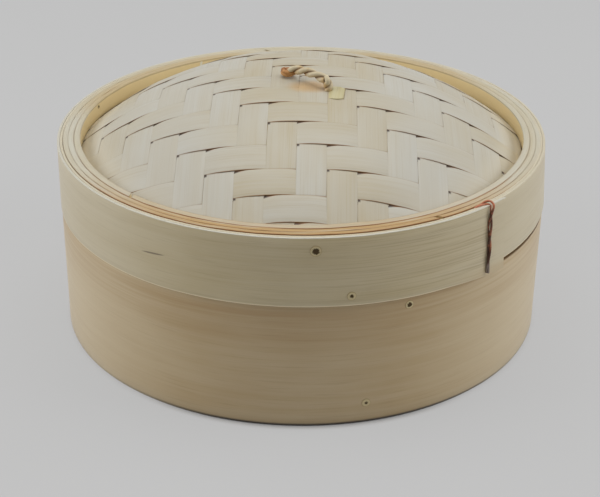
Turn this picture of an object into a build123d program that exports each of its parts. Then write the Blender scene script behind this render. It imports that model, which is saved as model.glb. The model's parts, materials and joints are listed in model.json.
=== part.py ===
from build123d import *
import math
import os

# Bamboo steamer: a round basket with a slatted floor, and a lid with a woven dome.
# Millimetres, +Z up, origin at the centre of the ring that the basket stands on.
# The front, where the stitch and the pegs show, looks along -Y.

# Base wall: an outer band, and an inner band that stands up as a spigot for the lid
base_radius = 126.2
base_height = 67.0
base_band_thickness = 2.8
inner_band_thickness = 2.4
spigot_height = 8.0
stack_clearance = 0.5
socket_clearance = 0.65
layer_gap = 0.15
scarf_width = 0.3
scarf_slant = 20.0
scarf_overshoot = 1.3
base_scarf_angle = 75.0
inner_scarf_angle = 110.0

# Slatted floor
floor_hoop_thickness = 3.0
lower_hoop_height = 7.5
upper_hoop_height = 7.0
slat_count = 11
slat_gap = 6.0
slat_thickness = 3.5
slat_edge_margin = 10.95
slat_end_gap = 0.4
bearer_width = 9.0
bearer_height = 6.0
bearer_spread = 112.0
notch_clearance = 0.2

# Lid band: one thin strip rolled round the lid, its outer end at the stitch
lid_height = 35.2
lid_strip_thickness = 0.8
lid_strip_gap = 0.25
lid_turns = 2
lid_clearance = 1.25
lid_seam_angle = -45.4

# Rim hoops inside the lid band, and the hoop under the edge of the weave
rim_gap = 0.95
hoop_gap = 0.3
outer_hoop_thickness = 3.4
middle_hoop_thickness = 3.1
inner_hoop_thickness = 2.8
rim_hoop_height = 22.0
butt_gap = 0.6
outer_butt_angle = -59.0
middle_butt_angle = 100.0
inner_butt_angle = -134.0
under_butt_angle = 60.0
clamp_clearance = 0.25

# Woven dome: columns run front to back, rows run from side to side
dome_depth = 8.7
dome_rise = 38.5
strip_thickness = 0.8
weave_clearance = 0.2
weave_slit = 1.2
column_count = 16
row_count = 16
column_overhang = 1.1
row_overhang = 10.7
column_shift = -1.4
row_shift = 0.6
weave_turn = -1.0
weave_end_gap = 0.5
landing_share = 0.75

# Pegs: the heights at which they pass through the bands and hoops
peg_radius = 1.25
peg_clearance = 0.05
peg_proud = 0.1
peg_bite = 0.6
spigot_peg_drop = 5.0
floor_peg_rise = 2.6
lid_peg_drop = 6.5
lid_low_peg_rise = 5.0
inner_peg_drop = 2.2
front_spigot_peg_angle = -66.4
front_floor_peg_angle = -75.6
front_lid_peg_angle = -87.1
front_low_peg_angle = -79.6
inner_peg_angle = 163.8

# Stitch: a wire bent over the rim, with two legs in the gap behind the band
stitch_wire_radius = 0.5
stitch_strand_gap = 0.3
stitch_setback = 2.2
stitch_air = 0.1
stitch_leg = 13.0
stitch_foot = 0.8
stitch_inner_bend = 0.4

# Handle: a loop between a knot and a tail, both held through the weave, each placed by the
# strips that it passes between
knot_column = 8
knot_row = 8
knot_offset_x = 1.5
knot_offset_y = -1.4
tail_column = 9
tail_row = 9
tail_offset_x = -0.4
tail_offset_y = -2.2
handle_axis_height = 2.4
handle_rise = 4.2
handle_strand_radius = 1.6
trunnion_radius = 0.9
trunnion_length = 2.0
trunnion_clearance = 0.08
handle_side_gap = 0.3
boss_radius = 3.0
boss_wall = 1.6
boss_crown = 1.4
post_radius = 1.4
post_clearance = 0.3
seat_gap = 0.2
button_radius = 3.6
button_thickness = 1.6
tail_length = 8.0
tail_width = 6.4
tail_thickness = 1.4

os.makedirs("parts", exist_ok=True)

# Radii of the nested rings, from the base outwards and then from the lid inwards
spigot_radius = base_radius - base_band_thickness - layer_gap
inner_band_bore = spigot_radius - inner_band_thickness
floor_hoop_radius = inner_band_bore - layer_gap
floor_hoop_bore = floor_hoop_radius - floor_hoop_thickness
lid_bore = spigot_radius + lid_clearance
lid_pitch = lid_strip_thickness + lid_strip_gap
lid_radius = lid_bore + lid_turns * lid_pitch + lid_strip_thickness
outer_hoop_radius = lid_bore - rim_gap
outer_hoop_bore = outer_hoop_radius - outer_hoop_thickness
middle_hoop_radius = outer_hoop_bore - hoop_gap
middle_hoop_bore = middle_hoop_radius - middle_hoop_thickness
inner_hoop_radius = middle_hoop_bore - hoop_gap
inner_hoop_bore = inner_hoop_radius - inner_hoop_thickness
weave_radius = middle_hoop_bore - weave_end_gap

# Heights
stack_recess = spigot_height + stack_clearance
slat_bottom = stack_recess + lower_hoop_height
slat_top = slat_bottom + slat_thickness
spigot_top = base_height + spigot_height
rim_top = base_height + lid_height
rim_hoop_bottom = rim_top - rim_hoop_height

# The dome is a paraboloid through the weave's middle layer
dome_fall = dome_rise / inner_hoop_bore**2
dome_apex = rim_top - dome_depth + dome_rise
weave_lift = (strip_thickness + weave_clearance) / 2
weave_half = weave_lift + strip_thickness / 2
column_pitch = (2 * weave_radius + column_overhang) / column_count
row_pitch = (2 * weave_radius + row_overhang) / row_count
column_width = column_pitch - weave_slit
row_width = row_pitch - weave_slit
strip_crown = dome_fall * max(column_width, row_width) ** 2 / 4
clamp_half = weave_half + strip_crown + clamp_clearance
landing = landing_share * weave_clearance * weave_slit / strip_thickness


def dome_height(x, y):
    """Height of the weave's middle layer."""
    return dome_apex - dome_fall * (x * x + y * y)


def column_place(number):
    """Distance of a column to the right of the axis, counted from 1 at the left."""
    return column_shift + (number - (column_count + 1) / 2) * column_pitch


def row_place(number):
    """Distance of a row to the front of the axis, counted from 1 at the back."""
    return row_shift + (number - (row_count + 1) / 2) * row_pitch


def radial_plane(angle, radius, height):
    """A plane square to a radius of the basket, looking outwards."""
    out = Vector(1, 0, 0).rotate(Axis.Z, angle)
    return Plane(origin=out * radius + Vector(0, 0, height), z_dir=out)


def section_plane(angle):
    """The upright half plane through the axis, X outwards and Y up."""
    out = Vector(1, 0, 0).rotate(Axis.Z, angle)
    return Plane(origin=(0, 0, 0), x_dir=out, z_dir=out.cross(Vector(0, 0, 1)))


def ring(outer, inner):
    """Flat ring, inside a sketch."""
    Circle(outer)
    Circle(inner, mode=Mode.SUBTRACT)


def scarf_cut(angle, outer, inner):
    """Thin slanting cut where a band's two tapered ends meet, inside a sketch."""
    length = scarf_overshoot * (outer - inner) / math.sin(math.radians(scarf_slant))
    with PolarLocations((outer + inner) / 2, 1, start_angle=angle):
        Rectangle(length, scarf_width, rotation=90 - scarf_slant, mode=Mode.SUBTRACT)


def butt_cut(angle, outer, inner):
    """Narrow gap between a hoop's two square ends, inside a sketch."""
    with PolarLocations((outer + inner) / 2, 1, start_angle=angle):
        Rectangle(2 * (outer - inner), butt_gap, mode=Mode.SUBTRACT)


def rolled_radius(angle):
    """Radius of the lid band's outer face, which winds inwards clockwise from the seam."""
    return lid_radius - lid_pitch * ((lid_seam_angle - angle) % 360) / 360


def rod(plane, radius, length, mode=Mode.ADD):
    """Round rod along a plane's normal, inside a part."""
    with BuildSketch(plane) as rod_end:
        Circle(radius)
    return extrude(rod_end.sketch, amount=length, mode=mode)


def drill(pegs):
    """Peg holes, each an angle, a height and the radii of the peg's two ends."""
    for angle, height, start, end in pegs:
        plane = radial_plane(angle, start, height)
        rod(plane, peg_radius + peg_clearance, end - start, Mode.SUBTRACT)


def save(part, label):
    """Label a finished piece and write it."""
    part.label = label
    export_step(part, f"parts/{label}.step")


# Pegs of the base: through both bands at the spigot and at the lower floor hoop, and from
# inside through the upper floor hoop
base_face = base_radius + peg_proud
spigot_peg_height = base_height - spigot_peg_drop
lower_peg_height = stack_recess + floor_peg_rise
upper_peg_height = slat_top + upper_hoop_height / 2
base_peg_list = []
for half_turn in (0, 180):
    base_peg_list.append(
        (front_spigot_peg_angle + half_turn, spigot_peg_height, inner_band_bore, base_face)
    )
    base_peg_list.append(
        (front_floor_peg_angle + half_turn, lower_peg_height, floor_hoop_bore, base_face)
    )
    base_peg_list.append((half_turn, upper_peg_height, floor_hoop_bore, spigot_radius - peg_bite))

# Pegs of the lid: through the band into the hoops, through the band alone near its lower
# edge, and from inside through the inner hoop
lid_peg_height = rim_top - lid_peg_drop
low_peg_height = base_height + lid_low_peg_rise
inner_peg_height = rim_top - inner_peg_drop
lid_peg_list = []
for third_turn in (0, 120, 240):
    angle = front_lid_peg_angle + third_turn
    lid_peg_list.append(
        (angle, lid_peg_height, middle_hoop_bore + peg_bite, rolled_radius(angle) + peg_proud)
    )
for half_turn in (0, 180):
    angle = front_low_peg_angle + half_turn
    face = rolled_radius(angle)
    lid_peg_list.append((angle, low_peg_height, face - lid_turns * lid_pitch, face + peg_proud))
    lid_peg_list.append(
        (
            inner_peg_angle + half_turn,
            inner_peg_height,
            inner_hoop_bore - peg_proud,
            middle_hoop_radius - peg_bite,
        )
    )

# Places of the handle's knot and tail, and of the axis that its loop turns on
knot_place = Vector(
    column_place(knot_column) + knot_offset_x,
    -row_place(knot_row) - row_pitch / 2 + knot_offset_y,
    0,
)
tail_place = Vector(
    column_place(tail_column) + column_pitch / 2 + tail_offset_x,
    -row_place(tail_row) - row_pitch / 2 + tail_offset_y,
    0,
)
handle_chord = tail_place - knot_place
handle_axis = handle_chord.normalized()
weave_stand = weave_half + strip_crown + seat_gap


def seat_height(place):
    """Underside of a boss: clear of the weave at the boss's uphill edge."""
    return dome_height(max(place.length - boss_radius, 0), 0) + weave_stand


knot_seat = seat_height(knot_place)
tail_seat = seat_height(tail_place)
axis_height = max(knot_seat, tail_seat) + handle_axis_height
handle_centre = (knot_place + tail_place) * 0.5 + Vector(0, 0, axis_height)

# Base outer band, rebated below to stack on another basket's spigot
with BuildPart() as base_outer_band:
    with BuildSketch():
        ring(base_radius, base_radius - base_band_thickness)
        scarf_cut(base_scarf_angle, base_radius, base_radius - base_band_thickness)
    extrude(amount=base_height)
    rod(Plane.XY, spigot_radius + socket_clearance, stack_recess, Mode.SUBTRACT)
    drill(base_peg_list)
save(base_outer_band.part, "base_outer_band")

# Base inner band, from the stacking recess up to the top of the spigot
with BuildPart() as base_inner_band:
    with BuildSketch(Plane.XY.offset(stack_recess)):
        ring(spigot_radius, inner_band_bore)
        scarf_cut(inner_scarf_angle, spigot_radius, inner_band_bore)
    extrude(amount=spigot_top - stack_recess)
    drill(base_peg_list)
save(base_inner_band.part, "base_inner_band")

# Lower floor hoop, notched for the ends of the two bearers
with BuildPart() as floor_lower_hoop:
    with BuildSketch(Plane.XY.offset(stack_recess)):
        ring(floor_hoop_radius, floor_hoop_bore)
    extrude(amount=lower_hoop_height)
    with BuildSketch(Plane.XY.offset(slat_bottom)):
        with GridLocations(bearer_spread, 0, 2, 1):
            Rectangle(bearer_width + 2 * notch_clearance, 2 * base_radius)
    extrude(amount=-(bearer_height + notch_clearance), mode=Mode.SUBTRACT)
    drill(base_peg_list)
save(floor_lower_hoop.part, "floor_lower_hoop")

# Bearers, from front to back under the slats
for side, label in ((-1, "floor_bearer_left"), (1, "floor_bearer_right")):
    with BuildPart() as bearer:
        with BuildSketch(Plane.XY.offset(slat_bottom - bearer_height)):
            Circle(floor_hoop_radius - slat_end_gap)
            with Locations((side * bearer_spread / 2, 0)):
                Rectangle(bearer_width, 2 * base_radius, mode=Mode.INTERSECT)
        extrude(amount=bearer_height)
    save(bearer.part, label)

# Floor slats, side by side with steam gaps between them
slat_pitch = (2 * (floor_hoop_radius - slat_edge_margin) + slat_gap) / slat_count
for number in range(1, slat_count + 1):
    with BuildPart() as floor_slat:
        with BuildSketch(Plane.XY.offset(slat_bottom)):
            Circle(floor_hoop_radius - slat_end_gap)
            with Locations((0, (number - (slat_count + 1) / 2) * slat_pitch)):
                Rectangle(2 * base_radius, slat_pitch - slat_gap, mode=Mode.INTERSECT)
        extrude(amount=slat_thickness)
    save(floor_slat.part, f"floor_slat_{number:02d}")

# Upper floor hoop, which holds the slats down
with BuildPart() as floor_upper_hoop:
    with BuildSketch(Plane.XY.offset(slat_top)):
        ring(floor_hoop_radius, floor_hoop_bore)
        butt_cut(middle_butt_angle, floor_hoop_radius, floor_hoop_bore)
    extrude(amount=upper_hoop_height)
    drill(base_peg_list)
save(floor_upper_hoop.part, "floor_upper_hoop")

# Lid band: each half turn of the roll is an arc, and the arcs' two centres alternate
seam = Vector(1, 0, 0).rotate(Axis.Z, lid_seam_angle)
with BuildPart() as lid_outer_band:
    with BuildSketch(Plane(origin=(0, 0, base_height), x_dir=seam, z_dir=(0, 0, 1))):
        with BuildLine():
            for half_turn in range(2 * lid_turns):
                side = 1 - 2 * (half_turn % 2)
                centre = (side * lid_pitch / 4, 0)
                arc_radius = lid_radius - lid_pitch * (1 + 2 * half_turn) / 4
                start = 180 * (half_turn % 2)
                CenterArc(centre, arc_radius, start, -180)
                CenterArc(centre, arc_radius - lid_strip_thickness, start, -180)
            Line((lid_radius, 0), (lid_radius - lid_strip_thickness, 0))
            Line((lid_bore + lid_strip_thickness, 0), (lid_bore, 0))
        make_face()
    extrude(amount=lid_height)
    drill(lid_peg_list)
save(lid_outer_band.part, "lid_outer_band")

# Outer and middle rim hoops
for label, outer, inner, butt_angle in (
    ("lid_hoop_outer", outer_hoop_radius, outer_hoop_bore, outer_butt_angle),
    ("lid_hoop_middle", middle_hoop_radius, middle_hoop_bore, middle_butt_angle),
):
    with BuildPart() as rim_hoop:
        with BuildSketch(Plane.XY.offset(rim_hoop_bottom)):
            ring(outer, inner)
            butt_cut(butt_angle, outer, inner)
        extrude(amount=rim_hoop_height)
        drill(lid_peg_list)
    save(rim_hoop.part, label)

# Inner rim hoop above the weave's edge and under hoop below it, both bevelled to the dome
for label, level, side, butt_angle in (
    ("lid_hoop_inner", rim_top, 1, inner_butt_angle),
    ("lid_hoop_under", rim_hoop_bottom, -1, under_butt_angle),
):
    inner_edge = dome_height(inner_hoop_bore, 0) + side * clamp_half
    outer_edge = dome_height(inner_hoop_radius, 0) + side * clamp_half
    with BuildPart() as clamp_hoop:
        with BuildSketch(section_plane(butt_angle)):
            with BuildLine():
                Polyline(
                    (inner_hoop_bore, level),
                    (inner_hoop_radius, level),
                    (inner_hoop_radius, outer_edge),
                    (inner_hoop_bore, inner_edge),
                    close=True,
                )
            make_face()
        revolve(axis=Axis.Z, revolution_arc=360 - math.degrees(butt_gap / inner_hoop_bore))
        drill(lid_peg_list)
    save(clamp_hoop.part, label)

def column_is_over(column, row):
    """Twill: a column passes over two rows and under two, one step on in each column."""
    return (row - column) % 4 in (0, 1)


def woven_strip(along, position, width, crossings):
    """A ribbon over and under the strips it crosses, tilted to the dome and cut round.

    Each crossing is a place along the ribbon, the width of the strip that it crosses there,
    and 1 where the ribbon is over it or -1 where it is under.
    """
    across = along.cross(Vector(0, 0, 1))
    slope = -2 * dome_fall * position
    edge_height = dome_height(position, 0) - slope * width / 2
    line = []
    for place, crossed_width, level in sorted(crossings):
        for end in (-1, 1):
            u = place + end * (crossed_width / 2 - landing)
            line.append((u, level * weave_lift - dome_fall * u * u))
    top = [(u, w + strip_thickness / 2) for u, w in line]
    bottom = [(u, w - strip_thickness / 2) for u, w in reversed(line)]
    edge_plane = Plane(
        origin=across * (position - width / 2) + Vector(0, 0, edge_height),
        x_dir=along,
        z_dir=across,
    )
    with BuildPart() as ribbon:
        with BuildSketch(edge_plane):
            with BuildLine():
                Polyline(*top, *bottom, close=True)
            make_face()
        extrude(amount=width * math.hypot(1, slope), dir=across + Vector(0, 0, slope))
        with BuildSketch(Plane.XY.offset(rim_hoop_bottom)):
            Circle(weave_radius)
            with Locations(knot_place, tail_place):
                Circle(post_radius + post_clearance, mode=Mode.SUBTRACT)
        extrude(amount=dome_apex, mode=Mode.INTERSECT)
    return ribbon.part


front_to_back = Vector(0, 1, 0).rotate(Axis.Z, weave_turn)
side_to_side = Vector(1, 0, 0).rotate(Axis.Z, weave_turn)

# Columns of the weave, from left to right
for column in range(1, column_count + 1):
    crossings = []
    for row in range(1, row_count + 1):
        level = 1 if column_is_over(column, row) else -1
        crossings.append((-row_place(row), row_width, level))
    strip = woven_strip(front_to_back, column_place(column), column_width, crossings)
    save(strip, f"dome_column_{column:02d}")

# Rows of the weave, from the back to the front
for row in range(1, row_count + 1):
    crossings = []
    for column in range(1, column_count + 1):
        level = -1 if column_is_over(column, row) else 1
        crossings.append((column_place(column), column_width, level))
    strip = woven_strip(side_to_side, row_place(row), row_width, crossings)
    save(strip, f"dome_row_{row:02d}")

# Stitch: down outside the band in two runs, and over the rim into the gap behind it
seam_side = seam.rotate(Axis.Z, -90)
stitch_face = lid_radius + stitch_air + stitch_wire_radius
stitch_gap_radius = lid_radius - lid_turns * lid_pitch - stitch_air - stitch_wire_radius
stitch_top = rim_top + stitch_air + stitch_wire_radius
stitch_low = base_height + stitch_foot + stitch_wire_radius
stitch_pitch = 2 * stitch_wire_radius + stitch_strand_gap
stitch_bend = stitch_wire_radius + stitch_inner_bend
stitch_loop_bend = (stitch_wire_radius + stitch_pitch / 2) / 2


def stitch_point(side, radius, height):
    """A point of the stitch: left or right run, distance out along the seam, height."""
    setback = stitch_setback + side * stitch_pitch / 2
    return seam * radius + seam_side * setback + Vector(0, 0, height)


with BuildPart() as lid_stitch:
    with BuildLine():
        FilletPolyline(
            stitch_point(-1, stitch_gap_radius, rim_top - stitch_leg),
            stitch_point(-1, stitch_gap_radius, stitch_top),
            stitch_point(-1, stitch_face, stitch_top),
            stitch_point(-1, stitch_face, stitch_low),
            stitch_point(1, stitch_face, stitch_low),
            stitch_point(1, stitch_face, stitch_top),
            stitch_point(1, stitch_gap_radius, stitch_top),
            stitch_point(1, stitch_gap_radius, rim_top - stitch_leg),
            radius=(
                stitch_bend,
                stitch_bend,
                stitch_loop_bend,
                stitch_loop_bend,
                stitch_bend,
                stitch_bend,
            ),
        )
    leg_end = stitch_point(-1, stitch_gap_radius, rim_top - stitch_leg)
    with BuildSketch(Plane(origin=leg_end, z_dir=(0, 0, 1))):
        Circle(stitch_wire_radius)
    sweep()
save(lid_stitch.part, "lid_stitch")

# Pegs of the base and of the lid
for label, pegs in (("base_pegs", base_peg_list), ("lid_pegs", lid_peg_list)):
    with BuildPart() as peg_set:
        for angle, height, start, end in pegs:
            rod(radial_plane(angle, start, height), peg_radius, end - start)
    save(peg_set.part, label)

# Handle loop: an arch, with a trunnion at each end that turns in the knot and in the tail
arch_half = handle_chord.length / 2 - boss_radius - handle_side_gap - handle_strand_radius
handle_plane = Plane(
    origin=handle_centre, x_dir=handle_axis, z_dir=handle_axis.cross(Vector(0, 0, 1))
)
with BuildPart() as handle_loop:
    with BuildLine(handle_plane):
        arch = ThreePointArc((-arch_half, 0), (0, handle_rise), (arch_half, 0))
    with BuildSketch(Plane(origin=arch @ 0, z_dir=arch % 0)):
        Circle(handle_strand_radius)
    sweep()
    with Locations(arch @ 0, arch @ 1):
        Sphere(handle_strand_radius)
    for side in (-1, 1):
        elbow = Plane(origin=handle_centre + handle_axis * (side * arch_half), z_dir=handle_axis * side)
        rod(elbow, trunnion_radius, handle_strand_radius + handle_side_gap + trunnion_length)
save(handle_loop.part, "handle_loop")


def post(place, seat):
    """Post down through the weave, with a button below that keeps it there, inside a part."""
    button_top = dome_height(place.length + button_radius, 0) - weave_stand
    button_bottom = button_top - button_thickness
    foot = Plane(origin=place + Vector(0, 0, button_bottom))
    rod(foot, post_radius, seat - button_bottom)
    rod(foot, button_radius, button_thickness)


def boss(place, seat):
    """Round boss with a rounded crown, inside a part."""
    raised = rod(Plane(origin=place + Vector(0, 0, seat)), boss_radius, boss_top - seat)
    fillet(raised.faces().sort_by(Axis.Z)[-1].edges(), radius=boss_crown)


def trunnion_bore(side):
    """Blind bore on the handle's axis, for one of the loop's trunnions, inside a part."""
    reach = side * (arch_half + handle_strand_radius)
    mouth = Plane(origin=handle_centre + handle_axis * reach, z_dir=handle_axis * side)
    depth = 2 * handle_side_gap + trunnion_length
    rod(mouth, trunnion_radius + trunnion_clearance, depth, Mode.SUBTRACT)


boss_top = axis_height + trunnion_radius + boss_wall

# Knot at the back end of the loop
with BuildPart() as handle_knot:
    boss(knot_place, knot_seat)
    post(knot_place, knot_seat)
    trunnion_bore(-1)
save(handle_knot.part, "handle_knot")

# Tail at the front end of the loop, with its flat end lying out over the weave
with BuildPart() as handle_tail:
    boss(tail_place, tail_seat)
    with BuildSketch(Plane(origin=tail_place + Vector(0, 0, tail_seat), x_dir=handle_axis)):
        with Locations((tail_length / 2, 0)):
            Rectangle(tail_length, tail_width)
    extrude(amount=tail_thickness)
    post(tail_place, tail_seat)
    trunnion_bore(1)
save(handle_tail.part, "handle_tail")
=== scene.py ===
"""Bamboo steamer basket with its lid: looks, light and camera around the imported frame."""

import json
import logging
import math
import random
from dataclasses import dataclass
from enum import Enum
from typing import Callable, Optional, Sequence, Union

import bpy
from mathutils import Matrix, Vector


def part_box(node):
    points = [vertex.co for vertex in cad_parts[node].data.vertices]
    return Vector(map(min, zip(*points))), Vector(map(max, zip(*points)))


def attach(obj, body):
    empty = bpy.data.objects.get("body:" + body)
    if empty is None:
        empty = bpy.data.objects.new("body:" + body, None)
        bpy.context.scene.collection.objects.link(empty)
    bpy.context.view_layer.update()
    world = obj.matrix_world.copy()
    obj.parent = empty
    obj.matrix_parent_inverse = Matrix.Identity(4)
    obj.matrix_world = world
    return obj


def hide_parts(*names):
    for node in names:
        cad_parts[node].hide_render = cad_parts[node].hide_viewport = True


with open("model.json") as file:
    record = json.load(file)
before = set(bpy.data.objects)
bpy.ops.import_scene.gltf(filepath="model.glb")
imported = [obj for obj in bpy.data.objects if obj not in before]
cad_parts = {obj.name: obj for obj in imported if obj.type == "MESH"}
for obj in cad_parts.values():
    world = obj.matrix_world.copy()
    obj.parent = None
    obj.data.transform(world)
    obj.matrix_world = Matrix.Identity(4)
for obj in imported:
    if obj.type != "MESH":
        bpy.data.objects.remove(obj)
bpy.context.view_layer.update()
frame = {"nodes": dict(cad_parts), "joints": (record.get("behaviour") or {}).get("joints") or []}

LOG = logging.getLogger("steamer")
MM = 0.001
TURN = 2 * math.pi
# The steamer is slightly wider from side to side than from front to back, by this much a side.
SWELL = 0.9 * MM
# Where the rows of the weave bow most, how far from there they still do, and how fast the bow
# turns back towards the sides.
CREEP_MIDDLE = 65 * MM
CREEP_REACH = 42 * MM
CREEP_BOW = 3.5
# Share of its thickness that a band keeps at its tapered ends.
BLUNT = 0.06
# Share of the bevel by which the long corners of a band are cut back.
CORNER_CUT = 0.3
# Share of its lift that the raised edge of a band loses by the end of its first turn.
LIFT_LOSS = 0.35
# How fast the noise that makes a band waver changes with each turn and up the band.
WAVER_TURN = 0.12
WAVER_RISE = 0.5
EDGE_RISE = 5.0
# Strips over and under which one strip goes before its pattern repeats.
REPEAT = 4.0
# Waves along and across a strip of its uneven edge.
WOBBLE_ALONG = 14.0
WOBBLE_ACROSS = 2.0
# Least half length that a circle leaves of a strip, and least width of a wedge that narrows away.
LEAST_CHORD = 0.1 * MM
LEAST_WIDTH = 0.001 * MM
# Points through the thickness of a band, sides of a peg, rings on its head and sides of a strand.
BAND_POINTS = 4
PEG_SIDES = 20
PEG_RINGS = 5
STRAND_SIDES = 10
# How far a peg's head is domed.
PEG_CROWN = 0.1 * MM
# Sizes of a band that its rule takes as they are.
BAND_SIZES = tuple(
    "radius pitch thickness bottom bevel taper wave waver edge_waver droop droop_reach lift "
    "lift_from lift_to flare lean swell tip thin back seed".split()
)
# Sizes of a strip that lies flat and isn't woven.
FLAT = {
    "waist": 0.0, "pitch": 1.0, "shift": 0.0, "rise": 1.0, "lift": 0.0, "drop": 0.0,
    "span": 1.0, "fullness": 1.0, "bow": 0.0, "crossed_bow": 0.0,
}
Colour = tuple[float, float, float]
Point = tuple[float, float, float]
Span = tuple[float, float]


class Body(str, Enum):
    """The bodies of the frame that pieces ride on."""

    BASKET = "basket"
    LID = "lid"
    HANDLE = "handle"


class Slot(str, Enum):
    """The record's material slots."""

    BASE = "base_bamboo"
    FLOOR = "floor_bamboo"
    HOOP = "hoop_bamboo"
    PEG = "peg_bamboo"
    LID = "lid_bamboo"
    STITCH = "stitch_wire"
    COLUMN = "woven_column"
    ROW = "woven_row"
    HANDLE = "handle_rattan"


class Mark(str, Enum):
    """Attributes that a piece's mesh carries for its finish."""

    GRAIN = "grain"
    EDGE = "edge"
    TONE = "tone"
    RING = "ring"
    LEVEL = "level"
    PHASE = "phase"
    CORE = "core"


def paint(red: int, green: int, blue: int) -> Colour:
    """A display colour of 0 to 255 as the linear colour that a shader takes."""
    return tuple((v / 255) ** 2.2 for v in (red, green, blue))


@dataclass(frozen=True)
class Quantity:
    """A value on a node's output, so that a rule reads as plain arithmetic."""

    canvas: "Canvas"
    socket: bpy.types.NodeSocket

    def __add__(self, other: "Number") -> "Quantity":
        """Sum."""
        return self.canvas.math("ADD", self, other)

    def __sub__(self, other: "Number") -> "Quantity":
        """Difference."""
        return self.canvas.math("SUBTRACT", self, other)

    def __rsub__(self, other: "Number") -> "Quantity":
        """Difference from a plain number."""
        return self.canvas.math("SUBTRACT", other, self)

    def __mul__(self, other: "Number") -> "Quantity":
        """Product."""
        return self.canvas.math("MULTIPLY", self, other)

    def __truediv__(self, other: "Number") -> "Quantity":
        """Quotient."""
        return self.canvas.math("DIVIDE", self, other)

    def __neg__(self) -> "Quantity":
        """Opposite."""
        return self.canvas.math("MULTIPLY", self, -1.0)

    def __abs__(self) -> "Quantity":
        """Size without the sign."""
        return self.canvas.math("ABSOLUTE", self)

    __radd__ = __add__
    __rmul__ = __mul__


Number = Union[Quantity, float]
Paint = Union[Quantity, Colour]
Grain = tuple[Quantity, Quantity, Quantity]


class Canvas:
    """A node tree being drawn: makes nodes, links them, and turns arithmetic into nodes."""

    def __init__(self, tree: bpy.types.NodeTree) -> None:
        """Start on an empty tree."""
        self.tree = tree
        tree.nodes.clear()

    def add(
        self, kind: str, inputs: Optional[dict] = None, **settings: object
    ) -> bpy.types.Node:
        """Make a node.

        Args:
            kind: The node's type.
            inputs: Values or quantities for its inputs, by name or index.
            **settings: Properties of the node itself.

        Returns:
            The node.
        """
        node = self.tree.nodes.new(kind)
        for key, value in settings.items():
            setattr(node, key, value)
        for key, value in (inputs or {}).items():
            self.feed(node.inputs[key], value)
        return node

    def feed(self, socket: bpy.types.NodeSocket, value: object) -> None:
        """Link a quantity to a socket, or set a plain value on it.

        Args:
            socket: A node's input.
            value: The quantity or the plain value.
        """
        if isinstance(value, Quantity):
            self.tree.links.new(value.socket, socket)
        else:
            socket.default_value = value

    def take(self, node: bpy.types.Node, output: Union[str, int] = 0) -> Quantity:
        """The quantity on one of a node's outputs."""
        return Quantity(self, node.outputs[output])

    def math(self, operation: str, *values: Number) -> Quantity:
        """One arithmetic operation on numbers or quantities."""
        return self.take(self.add("ShaderNodeMath", dict(enumerate(values)), operation=operation))

    def least(self, first: Number, second: Number) -> Quantity:
        """The smaller of two numbers."""
        return self.math("MINIMUM", first, second)

    def most(self, first: Number, second: Number) -> Quantity:
        """The larger of two numbers."""
        return self.math("MAXIMUM", first, second)

    def step(self, low: Number, high: Number, value: Number) -> Quantity:
        """A smooth step from 0 at low to 1 at high, also where high is below low."""
        limits = {"Value": value, "From Min": low, "From Max": high}
        return self.take(self.add("ShaderNodeMapRange", limits, interpolation_type="SMOOTHSTEP"))

    def vector(self, x: Number, y: Number, z: Number) -> Quantity:
        """Three numbers as one vector."""
        return self.take(self.add("ShaderNodeCombineXYZ", {"X": x, "Y": y, "Z": z}))

    def scaled(self, vector: Quantity, scale: Number) -> Quantity:
        """A vector times a number."""
        node = self.add("ShaderNodeVectorMath", {0: vector, "Scale": scale}, operation="SCALE")
        return self.take(node)

    def pair(self, operation: str, first: Quantity, second: Quantity) -> bpy.types.Node:
        """One operation on two vectors."""
        return self.add("ShaderNodeVectorMath", {0: first, 1: second}, operation=operation)

    def parts(self, vector: Quantity) -> Grain:
        """A vector's three numbers."""
        node = self.add("ShaderNodeSeparateXYZ", {0: vector})
        return self.take(node, 0), self.take(node, 1), self.take(node, 2)

    def noise(self, vector: Quantity, detail: float = 2.0, roughness: float = 0.5) -> Quantity:
        """Smooth noise around 0.5, one unit of the vector across."""
        inputs = {"Vector": vector, "Scale": 1.0, "Detail": detail, "Roughness": roughness}
        return self.take(self.add("ShaderNodeTexNoise", inputs, noise_dimensions="3D"), 0)

    def blend(self, share: Number, first: Paint, second: Paint) -> Quantity:
        """Mix of two colours.

        Args:
            share: Share of the second colour.
            first: A colour, or a quantity with one.
            second: A colour, or a quantity with one.

        Returns:
            The mixed colour.
        """
        node = self.add("ShaderNodeMix", {0: share}, data_type="RGBA")
        for socket, value in ((node.inputs[6], first), (node.inputs[7], second)):
            self.feed(socket, value if isinstance(value, Quantity) else (*value, 1.0))
        return self.take(node, 2)

    def mix_shaders(
        self, share: Quantity, first: bpy.types.Node, second: bpy.types.Node
    ) -> Quantity:
        """Mix of two shaders, by the share of the second one."""
        inputs = {0: share, 1: self.take(first), 2: self.take(second)}
        return self.take(self.add("ShaderNodeMixShader", inputs))

    def bump(self, height: Quantity, distance: float, strength: float = 1.0) -> Quantity:
        """A shader's normal, from a height."""
        inputs = {"Strength": strength, "Distance": distance, "Height": height}
        return self.take(self.add("ShaderNodeBump", inputs))

    def mark(self, mark: Mark, output: str = "Fac") -> Quantity:
        """One of the mesh's attributes, in a material."""
        return self.take(self.add("ShaderNodeAttribute", attribute_name=mark.value), output)

    def place(self) -> Quantity:
        """The place on the piece, in a material."""
        return self.take(self.add("ShaderNodeTexCoord"), "Object")


Drawing = Callable[[Canvas, dict[str, Quantity]], Quantity]


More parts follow.
